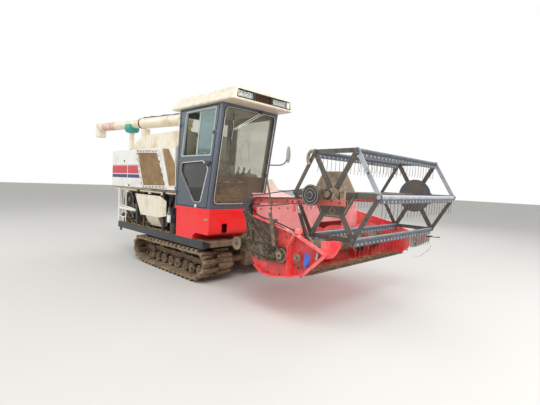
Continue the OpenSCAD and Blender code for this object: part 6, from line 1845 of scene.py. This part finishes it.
def make_platform():
    at, mouth, end = AUGER, 0.36, 1.04
    bm = bmesh.new()
    turned(bm, [(0.001, -1.028), (0.125, -1.028), (0.125, 1.028), (0.001, 1.028)], (at[0], 0, at[1]),
        (0, 1, 0), 64)
    for y in (-1.024, 1.018):
        ring(bm, 0.12, 0.15, 0.006, (at[0], y, at[1]), (0, 1, 0), 48)
    pitch = 0.42
    for start, length, way in ((-end + 0.012, end + mouth - 0.2, 1), (end - 0.012, end - mouth - 0.2, -1)):
        turns = length / pitch
        steps = round(turns * 40)
        before = set(bm.verts)
        inner = bm.verts.new((0.1235, 0, 0.0))
        mid = bm.verts.new((0.176, 0, 0.0))
        outer = bm.verts.new((0.2245, 0, 0.0))
        edges = [bm.edges.new((inner, mid)), bm.edges.new((mid, outer))]
        bmesh.ops.spin(bm, geom=[inner, mid, outer] + edges, cent=(0, 0, 0), axis=(0, 0, 1),
            dvec=(0, 0, length / steps), angle=2 * pi * turns, steps=steps)
        faces = [f for f in bm.faces if all(v not in before for v in f.verts)]
        bmesh.ops.solidify(bm, geom=faces, thickness=0.005)
        fresh = [v for v in bm.verts if v not in before]
        turn = Matrix.Rotation(radians(-90 * way), 4, "X")
        bmesh.ops.transform(bm, matrix=Matrix.Translation((at[0], start, at[1])) @ turn, verts=fresh)
    placed("auger_body", bm, "header_red_enamel", "platform", ("platform_auger",), crease=32,
        zones=(("dusty_brown_steel", lambda c: hypot(c.x - at[0], c.z - at[1]) < 0.155),))
    bm = bmesh.new()
    for side in (-1, 1):
        rod(bm, (at[0], side * 1.0275, at[1]), (at[0], side * 1.1205, at[1]), 0.0245, 28)
        rod(bm, (at[0], side * 1.105, at[1]), (at[0], side * 1.1208, at[1]), 0.018, 6)
    placed("auger_shaft", bm, "greasy_iron", "platform", round_mm=1)
    bm = bmesh.new()
    for i in range(6):
        a = radians(i * 60)
        y = mouth - 0.16 + i * 0.064
        axis = Vector((sin(a), 0, cos(a)))
        p = Vector((at[0], y, at[1]))
        rod(bm, p + axis * 0.122, p + axis * 0.22, 0.0078, 12)
        turned(bm, [(0.001, 0), (0.024, 0), (0.02, 0.01), (0.001, 0.01)], p + axis * 0.1235, axis, 20)
    placed("auger_fingers", bm, "worn_blade_steel", "platform")
    bm = bmesh.new()
    for side in (-1, 1):
        bolt_ring(bm, at, side * 1.024, -side, 0.137, 3, 0.008)
    for y in (-0.7, -0.1, 0.75):
        bolt(bm, (at[0], y, at[1] + 0.1248), (0, 0, 1), 0.01)
    placed("auger_bolts", bm, "dusty_iron", "platform")


class HARVESTER_OT_platform(bpy.types.Operator):
    """Platform auger with its rolled flights, fingers and end discs"""

    bl_idname = "harvester.platform"
    bl_label = "Platform auger"

    def execute(self, context):
        make_platform()
        return {"FINISHED"}


def make_header_drives():
    y0 = -END_Y

    def kept(_, s):
        """False for the CAD's flat chains, whose links are made below."""
        return not (s.y < 0.013 and s.x > 0.1 and s.z > 0.1 and max(s.x, s.z) > 0.25)

    dressed("header_drives", "dusty_iron", "header", 2, keep=kept,
        zones=(("dusty_brown_steel", lambda c: c.y < y0 - 0.018
        and any(hypot(c.x - x, c.z - z) < r for (x, z),
        r in ((DRUM, 0.08), (DRIVE, 0.046), (CRANK, 0.052)))),))
    # Springs, roller chains, sprockets and nuts
    spring("tension_spring", (2.543, -1.062, 0.8), (2.53, -1.062, 0.725), 0.012, 0.0028, 9,
        "dull_zinc_steel", "header")
    spring("idler_pull_spring", (1.76, -1.075, 0.9), (1.66, -1.075, 0.96), 0.01, 0.0024, 9, "dusty_iron",
        "header")
    roller_chain("relay_chain", [(RELAY[0], RELAY[1], 0.0485), (IDLE[0], IDLE[1], 0.0425)][::-1],
        y0 - 0.008)
    roller_chain("drum_chain", [(RELAY[0], RELAY[1], 0.0345), (DRUM[0], DRUM[1], 0.0465)][::-1], y0 - 0.055)
    bm = bmesh.new()
    sprocket(bm, RELAY[0], RELAY[1], 0.047, y0 - 0.011, y0 - 0.005, 12)
    sprocket(bm, IDLE[0], IDLE[1], 0.041, y0 - 0.011, y0 - 0.005, 10)
    sprocket(bm, RELAY[0], RELAY[1], 0.033, y0 - 0.058, y0 - 0.052, 9)
    sprocket(bm, DRUM[0], DRUM[1], 0.045, y0 - 0.058, y0 - 0.052, 12)
    for x, z, r, y in ((RELAY[0], RELAY[1], 0.014, y0 - 0.064), (DRUM[0], DRUM[1], 0.016, y0 - 0.066),
            (IDLE[0], IDLE[1], 0.014, y0 - 0.02), (CRANK[0], CRANK[1], 0.014, y0 - 0.06),
            (2.333, 0.618, 0.015, y0 - 0.04), (1.853, 0.704, 0.022, y0 - 0.026),
            (1.413, 0.725, 0.02, y0 - 0.062)):
        rod(bm, (x, y, z), (x, y - 0.007, z), r * 0.95, 6)
        rod(bm, (x, y - 0.006, z), (x, y - 0.009, z), r * 0.45, 12)
    placed("sprockets_and_nuts", bm, "greasy_iron", "header", round_mm=0.6, steps=1)
    # Open belt with its worn back
    bm = bmesh.new()
    belt_loop(bm, (DRIVE[0], DRIVE[1], 0.0405), (DRUM[0], DRUM[1], 0.0765), 0.009, y0 - 0.036, y0 - 0.022)
    placed("knife_belt", bm, "belt_rubber", "header", round_mm=2)
    # Bolts round the chain case and its pressed rib
    bm = bmesh.new()
    spots = ((1.662, 0.795), (1.72, 0.822), (1.8, 0.822), (1.9, 0.822), (1.985, 0.82), (1.99, 0.72),
        (1.978, 0.63), (1.88, 0.612), (1.76, 0.605), (1.662, 0.622), (1.66, 0.7))
    bolts(bm, spots, y0 - 0.0158, -1)
    bolt_ring(bm, (1.853, 0.704), y0 - 0.0158, -1, 0.046, 6, 0.0075)
    placed("case_bolts", bm, "greasy_iron", "header")
    wire("case_rib", [[(x, y0 - 0.0155, z) for x,
        z in rounded([(1.68, 0.785), (1.975, 0.808), (1.965, 0.64), (1.7, 0.622)], 0.03)]], 0.005,
        "dusty_iron", "header", closed=True)
    # Dried grease and chaff clinging round the drives
    chance = random.Random(41)
    bm = bmesh.new()
    spots = [(RELAY, 0.09), (IDLE, 0.08), (DRUM, 0.09), (CRANK, 0.06), ((1.75, 0.66), 0.12),
        ((1.56, 1.2), 0.07), ((1.6, 0.95), 0.1)]
    for _ in range(150):
        (x, z), spread = chance.choice(spots)
        at = Vector((x + chance.gauss(0, spread), y0 - chance.uniform(0.001, 0.012), z
            + chance.gauss(0, spread)))
        if not (1.44 < at.x < 2.36 and 0.6 < at.z < 1.02 - (at.x - 1.64) * 0.2):
            continue
        clod(bm, chance, chance.uniform(0.004, 0.012), 1.3, (1.3, 0.5, 1.3), at)
    placed("grease_clods", bm, "dried_mud", "header", crease=180)
    # Hand lever on the right rail, caked with soil at its foot
    bm = bmesh.new()
    rod(bm, (1.861, -1.1095, 1.5), (1.948, -1.1095, 1.228), 0.0095, 12)
    rod(bm, (1.948, -1.1095, 1.228), (1.966, -1.1095, 1.05), 0.007, 12)
    box(bm, (1.93, -1.119, 1.212), (1.966, -1.1, 1.246))
    box(bm, (1.946, -1.1185, 1.02), (1.988, -1.044, 1.056))
    placed("hand_lever", bm, "dusty_iron", "header", round_mm=1.5)
    bm = bmesh.new()
    turned(bm, [(0.001, 0), (0.009, 0.002), (0.011, 0.014), (0.01, 0.03), (0.001, 0.034)],
        (1.863, -1.1095, 1.49), (-0.3, 0, 0.95), 20)
    placed("lever_knob", bm, "black_rubber", "header")
    # Hoses from the cab's foot to the reel's cylinders, along the right rail
    wire("header_hoses", [[(1.58, -1.052, 1.15), (1.7, -1.062, 1.08), (1.9, -1.066, 1.04),
        (2.15, -1.064, 0.99), (2.29, -1.06, 0.93), (2.32, -1.056, 0.89)],
        [(1.57, -1.056, 1.12), (1.72, -1.07, 1.05), (1.93, -1.074, 1.012), (2.12, -1.07, 0.975),
        (2.262, -1.06, 0.9)]], 0.0068, "black_rubber", "header", smooth=True)


class HARVESTER_OT_header_drives(bpy.types.Operator):
    """Chains, belts, sprockets, pulleys and covers on the header's right end"""

    bl_idname = "harvester.header_drives"
    bl_label = "Header drives"

    def execute(self, context):
        make_header_drives()
        return {"FINISHED"}


def belt_loop(bm, a, b, thick, y0, y1):
    """A closed belt round two pulleys given as (x, z, radius)."""
    (xa, za, ra), (xb, zb, rb) = a, b
    d = Vector((xb - xa, zb - za))
    f = atan2(d.y, d.x)
    s = asin((ra - rb) / d.length)
    loops = []
    for extra in (thick, 0.0):
        outline = []
        for k in range(17):
            t = f + pi / 2 - s + (pi + 2 * s) * k / 16
            outline.append((xa + (ra + extra) * cos(t), za + (ra + extra) * sin(t)))
        for k in range(17):
            t = f - pi / 2 + s + (pi - 2 * s) * k / 16
            outline.append((xb + (rb + extra) * cos(t), zb + (rb + extra) * sin(t)))
        loops.append(outline)
    rim(bm, loops[0], loops[1], lambda x, z: Vector((x, y0, z)), (0, y1 - y0, 0))


def make_reel():
    centre, corner = Vector((2.582, 1.346)), 0.475
    dressed("reel_arms", "dusty_red_enamel", "reel_carrier", 3,
        zones=(("dusty_brown_steel", lambda c: c.y < 0 and c.x > 2.395 and c.z > 1.285 and c.y > -1.0145),
        ("pulley_enamel", lambda c: c.y < -1.0145 and c.x > 1.45)))
    # turned rings and the nut on the reel's pulley
    bm = bmesh.new()
    for r, w in ((0.094, 0.0025), (0.066, 0.0035), (0.034, 0.01)):
        ring(bm, r - 0.007, r, w, REEL_PULLEY, (0, -1, 0))
    rod(bm, REEL_PULLEY, Vector(REEL_PULLEY) + Vector((0, -0.012, 0)), 0.016, 6)
    placed("pulley_rings", bm, "dusty_grey_steel", "reel_carrier", round_mm=0.6, steps=1)
    # L bracket, clamps and bolts of the arms
    bm = bmesh.new()
    for side in (-1, 1):
        bolts(bm, ((1.6, 1.236), (1.7, 1.24), (2.08, 1.254), (2.24, 1.258), (2.72, 1.276), (2.745, 1.34),
            (2.745, 1.372), (2.43, 1.3), (2.52, 1.372), (2.64, 1.372), (2.63, 1.292)), side * 1.0145, side,
            0.01)
        bolt_ring(bm, centre, side * 1.0165, side, 0.04, 6, 0.0065, 0.3, False)
    placed("arm_bolts", bm, "dusty_iron", "reel_carrier")
    bm = bmesh.new()
    plate(bm, rounded([(2.115, 1.262), (2.205, 1.268), (2.21, 1.16), (2.18, 1.155), (2.168, 1.232),
        (2.12, 1.232)], 0.008, 3), -1.021, -1.0142)
    box(bm, (2.18, -1.045, 1.155), (2.21, -1.0145, 1.163))
    plate(bm, rounded([(1.548, 1.19), (1.65, 1.19), (1.65, 1.225), (1.548, 1.225)], 0.008, 3), -1.019,
        -1.0142)
    placed("arm_brackets", bm, "header_red_enamel", "reel_carrier", round_mm=1.5)

    # Belt up the arm, from the pivot's pulley to the reel's
    bm = bmesh.new()
    belt_loop(bm, (1.56, 1.215, 0.0565), (2.45, 1.332, 0.0645), 0.008, -1.079, -1.065)
    placed("reel_belt", bm, "belt_rubber", "reel_carrier", round_mm=1.5)
    wire("arm_hose", [[(1.6, -1.018, 1.262), (1.9, -1.02, 1.276), (2.12, -1.019, 1.288),
        (2.4, -1.018, 1.302)]], 0.0055, "black_rubber", "reel_carrier", smooth=True)
    wire("arm_spring_line", [[(2.235, -1.019, 1.226), (2.24, -1.021, 1.2), (2.26, -1.022, 1.175)]], 0.0028,
        "dull_zinc_steel", "reel_carrier", smooth=True)

    def off_centre(c):
        return (Vector((c.x, c.z)) - centre).length

    # the pressed hexagon is dusty brown, its lower part left dark as painted shade; the far disc is slate;
    # the front rim is a lit copy of the frame's steel, a painted highlight
    dressed("reel_frame", "dark_reel_steel", "reel", 3,
        zones=(("slate_disc_steel", lambda c: c.y > 0.905 and off_centre(c) < 0.22),
        ("dusty_brown_steel", lambda c: c.y < -0.905 and off_centre(c) < 0.252 and c.z > centre.y - 0.05),
        ("painted_highlight_steel", lambda c: abs(c.y) > 0.902 and c.x > centre.x + 0.23 and c.z > centre.y
        + 0.02 and off_centre(c) > 0.38)))
    bm = bmesh.new()
    for side in (-1, 1):
        for r in (0.085, 0.19, 0.4):
            bolt_ring(bm, centre, side * 0.9275, side, r, 6, 0.008)
        bolt_ring(bm, centre, side * 0.922, side, corner * cos(pi / 6), 6, 0.008, pi / 6)
    placed("reel_bolts", bm, "dusty_iron", "reel")
    # Stiffening bead pressed round the hexagon plate, with its lightening holes' rims
    bm = bmesh.new()
    for k in range(6):
        x, z = around(centre, 0.155, radians(30 + k * 60))
        turned(bm, [(0.026, 0), (0.036, 0), (0.034, 0.004), (0.028, 0.004)], (x, -0.9205, z), (0, -1, 0),
            24)
    outline = [around(centre, 0.238, radians(k * 60)) for k in range(6)]
    rim(bm, rounded(outline, 0.02, 3), rounded(grown(outline, -0.012), 0.018, 3), on_side(-0.921),
        (0, -0.0032, 0))
    placed("hexagon_beads", bm, "dusty_brown_steel", "reel", round_mm=1)
    # Curved cranks that stick out behind the corners, where the bars are held level
    paths = []
    for side in (-1, 1):
        x, z = around(centre, corner, radians(120))
        bend = ((0, 0.004), (-0.045, 0.002), (-0.072, -0.035), (-0.074, -0.09), (-0.055, -0.13))
        paths.append([(x + dx, side * 0.935, z + dz) for dx, dz in bend])
    wire("bar_cranks", paths, 0.0175, "dusty_brown_steel", "reel", smooth=True)

    # Tine bars: tube over its rail, spring coils clamped on it and the curved tines
    for k in range(6):
        name = "tine_bar_%d" % (k + 1)
        low, high = span(v.co for v in NODES[name].data.vertices)
        x, z = (low.x + high.x) / 2, high.z - 0.02
        body = "tines_%d" % (k + 1)
        bm = bmesh.new()
        rod(bm, (x, -0.935, z), (x, 0.935, z), 0.0198, 24)
        # the front bar's tube is a lit copy of the others, a painted highlight
        placed(name + "_tube", bm, "painted_highlight_steel" if k == 0 else "slate_tube_steel", body, (name,),
            round_mm=1)
        bm = bmesh.new()
        box(bm, (x - 0.003, -0.905, z - 0.06), (x + 0.003, 0.905, z - 0.016))
        for i in range(13):
            y = -0.875 + i * 0.1458
            box(bm, (x - 0.0045, y - 0.011, z - 0.052), (x + 0.0045, y + 0.011, z - 0.01))
        placed(name + "_rail", bm, "slate_disc_steel", body, round_mm=0.8, steps=1)
        bm = bmesh.new()
        for i in range(24):
            y = (i - 11.5) * 0.075
            for turn in range(3):
                ring(bm, 0.004, 0.0125, 0.0036, (x + 0.001, y + 0.0055 + turn * 0.0046, z - 0.04),
                    (0, 1, 0), 10)
            bolt(bm, (x + 0.003, y + 0.024, z - 0.04), (1, 0, 0), 0.0062, False)
        placed(name + "_coils", bm, "dull_zinc_steel", body)
        paths = []
        for i in range(24):
            y = (i - 11.5) * 0.075
            paths.append([(x + 0.001, y + 0.004, z - 0.036), (x + 0.002, y, z - 0.06),
                (x + 0.0015, y, z - 0.11), (x - 0.001, y, z - 0.16), (x - 0.006, y, z - 0.194)])
        wire(name + "_tines", paths, bpy.context.scene.harvester.tine_wire, "tine_steel", body, smooth=True,
            sides=1)


class HARVESTER_OT_reel(bpy.types.Operator):
    """Reel arms with pulleys and belt, the reel's frame and cranks, and the six tine bars with their
    tines"""

    bl_idname = "harvester.reel"
    bl_label = "Reel"

    def execute(self, context):
        make_reel()
        return {"FINISHED"}


def make_cylinders():
    dressed("header_cylinder", "black_enamel", "header_barrel", 2)
    dressed("header_rod", "ground_chrome", "header_piston", 1)
    dressed("reel_cylinders", "black_enamel", "reel_barrels", 1.5)
    dressed("reel_rods", "ground_chrome", "reel_pistons", 0.8)
    bm = bmesh.new()
    a, b = Vector((0.57, 0.34, 0.52)), Vector((1.12, 0.34, 0.62))
    along = (b - a).normalized()
    for t, r, w in ((0.04, 0.0325, 0.012), (0.3, 0.0325, 0.02)):
        ring(bm, 0.024, r, w, a + along * t, along, 28)
    rod(bm, a + along * 0.06 + Vector((0, 0, 0.028)), a + along * 0.06 + Vector((0, 0, 0.052)), 0.011, 12)
    placed("header_cylinder_ports", bm, "dusty_iron", "header_barrel", round_mm=1)
    bm = bmesh.new()
    a, b = Vector((2.33, 0, 0.88)), Vector((2.165, 0, 1.25))
    along = (b - a).normalized()
    for side in (-1, 1):
        at = a + Vector((0, side * 0.962, 0))
        for t, r, w in ((0.03, 0.0205, 0.01), (0.262, 0.0205, 0.018)):
            ring(bm, 0.015, r, w, at + along * t, along, 24)
        p = at + along * 0.048
        rod(bm, p + Vector((0.012, 0, 0.006)), p + Vector((0.034, 0, 0.016)), 0.008, 12)
    placed("reel_cylinder_ports", bm, "dusty_iron", "reel_barrels", round_mm=0.8)


class HARVESTER_OT_cylinders(bpy.types.Operator):
    """Hydraulic cylinders of the header and the reel, with their glands and ports"""

    bl_idname = "harvester.cylinders"
    bl_label = "Cylinders"

    def execute(self, context):
        make_cylinders()
        return {"FINISHED"}


# Stage

EYE = Vector((4.549, -3.753, 1.423))  # place of the camera
YAW, PITCH, ROLL = (radians(a) for a in (134.72, -3.01, 2.43))
FOCAL_PX, FRAME_PX = 358.4, 540
SENSOR_MM = 36
AMBIENT = 0.62  # strength of the world's light on the object; it is seen as 1, white


def make_stage():
    scene = bpy.context.scene
    ahead = Vector((cos(PITCH) * cos(YAW), cos(PITCH) * sin(YAW), sin(PITCH)))
    right = ahead.cross(Vector((0, 0, 1))).normalized()
    up = right.cross(ahead)
    right, up = (cos(ROLL) * right + sin(ROLL) * up, -sin(ROLL) * right + cos(ROLL) * up)
    data = bpy.data.cameras.new("camera")
    data.lens = FOCAL_PX / FRAME_PX * SENSOR_MM
    data.sensor_width = SENSOR_MM
    camera = bpy.data.objects.new("camera", data)
    turn = Matrix((right, up, -ahead)).transposed()
    camera.matrix_world = Matrix.Translation(EYE) @ turn.to_4x4()
    scene.collection.objects.link(camera)
    scene.camera = camera

    bm = bmesh.new()
    bmesh.ops.create_grid(bm, x_segments=1, y_segments=1, size=60)
    mesh = bpy.data.meshes.new("floor")
    bm.to_mesh(mesh)
    bm.free()
    floor = bpy.data.objects.new("floor", mesh)
    floor.location = (0, 0, -0.001)
    scene.collection.objects.link(floor)
    blank_material("pale_floor", Roughness=0.9, IOR=1.45, Specular_IOR_Level=0.1,
        Base_Color=linear("#d9d8d4"))
    mesh.materials.append(MATERIALS["pale_floor"])

    world = bpy.data.worlds.new("studio")
    scene.world = world
    world.use_nodes = True
    tree = world.node_tree
    tree.nodes.clear()
    rays = add_node(tree, "ShaderNodeLightPath")
    seen = rays.outputs["Is Camera Ray"]
    for other in ("Is Glossy Ray", "Is Transmission Ray"):
        seen = add_node(tree, "ShaderNodeMath", {0: seen, 1: rays.outputs[other]},
            operation="MAXIMUM").outputs[0]
    strength = add_node(tree, "ShaderNodeMapRange",
        {"Value": seen, "To Min": AMBIENT, "To Max": 1.0}).outputs[0]
    back = add_node(tree, "ShaderNodeBackground", {"Color": (1, 1, 1, 1), "Strength": strength})
    add_node(tree, "ShaderNodeOutputWorld", {"Surface": back.outputs[0]})

    for name, spot, size, power in (("key", (6, -5, 9), 6, 530), ("front", (9, 1.5, 4.5), 5, 350),
            ("fill", (-6, -8, 6), 7, 260), ("rim", (-3, 8, 7), 6, 240)):
        lamp = bpy.data.lights.new(name, "AREA")
        lamp.size = size
        lamp.energy = power
        holder = bpy.data.objects.new(name, lamp)
        holder.location = spot
        holder.rotation_euler = (Vector((0, 0, 1)) - Vector(spot)).to_track_quat("-Z", "Y").to_euler()
        scene.collection.objects.link(holder)
    scene.view_settings.view_transform = "Standard"


class HARVESTER_OT_stage(bpy.types.Operator):
    """Makes the pale floor, the soft studio light and the camera"""

    bl_idname = "harvester.stage"
    bl_label = "Stage"

    def execute(self, context):
        make_stage()
        return {"FINISHED"}


PIECES = [HARVESTER_OT_undercarriage, HARVESTER_OT_cab_shell, HARVESTER_OT_cab_glazing,
    HARVESTER_OT_operator_station, HARVESTER_OT_side_panels, HARVESTER_OT_body, HARVESTER_OT_unloader,
    HARVESTER_OT_lower_bay, HARVESTER_OT_header_shell, HARVESTER_OT_cutter, HARVESTER_OT_platform,
    HARVESTER_OT_header_drives, HARVESTER_OT_reel, HARVESTER_OT_cylinders,]
OPERATORS = [HARVESTER_OT_finishes] + PIECES + [HARVESTER_OT_stage]


class VIEW3D_PT_harvester(bpy.types.Panel):
    """The harvester's settings, and one button for each group of pieces"""

    bl_label = "Tracked combine harvester"
    bl_space_type = "VIEW_3D"
    bl_region_type = "UI"
    bl_category = "Harvester"

    def draw(self, context):
        column = self.layout.column()
        for name in HarvesterSettings.__annotations__:
            column.prop(context.scene.harvester, name)
        for cls in OPERATORS:
            column.operator(cls.bl_idname)


CLASSES = [HarvesterSettings] + OPERATORS + [VIEW3D_PT_harvester]


def register():
    for cls in CLASSES:
        bpy.utils.register_class(cls)
    bpy.types.Scene.harvester = bpy.props.PointerProperty(type=HarvesterSettings)


def unregister():
    del bpy.types.Scene.harvester
    for cls in reversed(CLASSES):
        bpy.utils.unregister_class(cls)


def main():
    register()
    bpy.ops.harvester.finishes()
    for piece in PIECES:
        getattr(bpy.ops.harvester, piece.bl_idname.split(".")[1])()
    bpy.ops.harvester.stage()


if __name__ == "__main__":
    main()
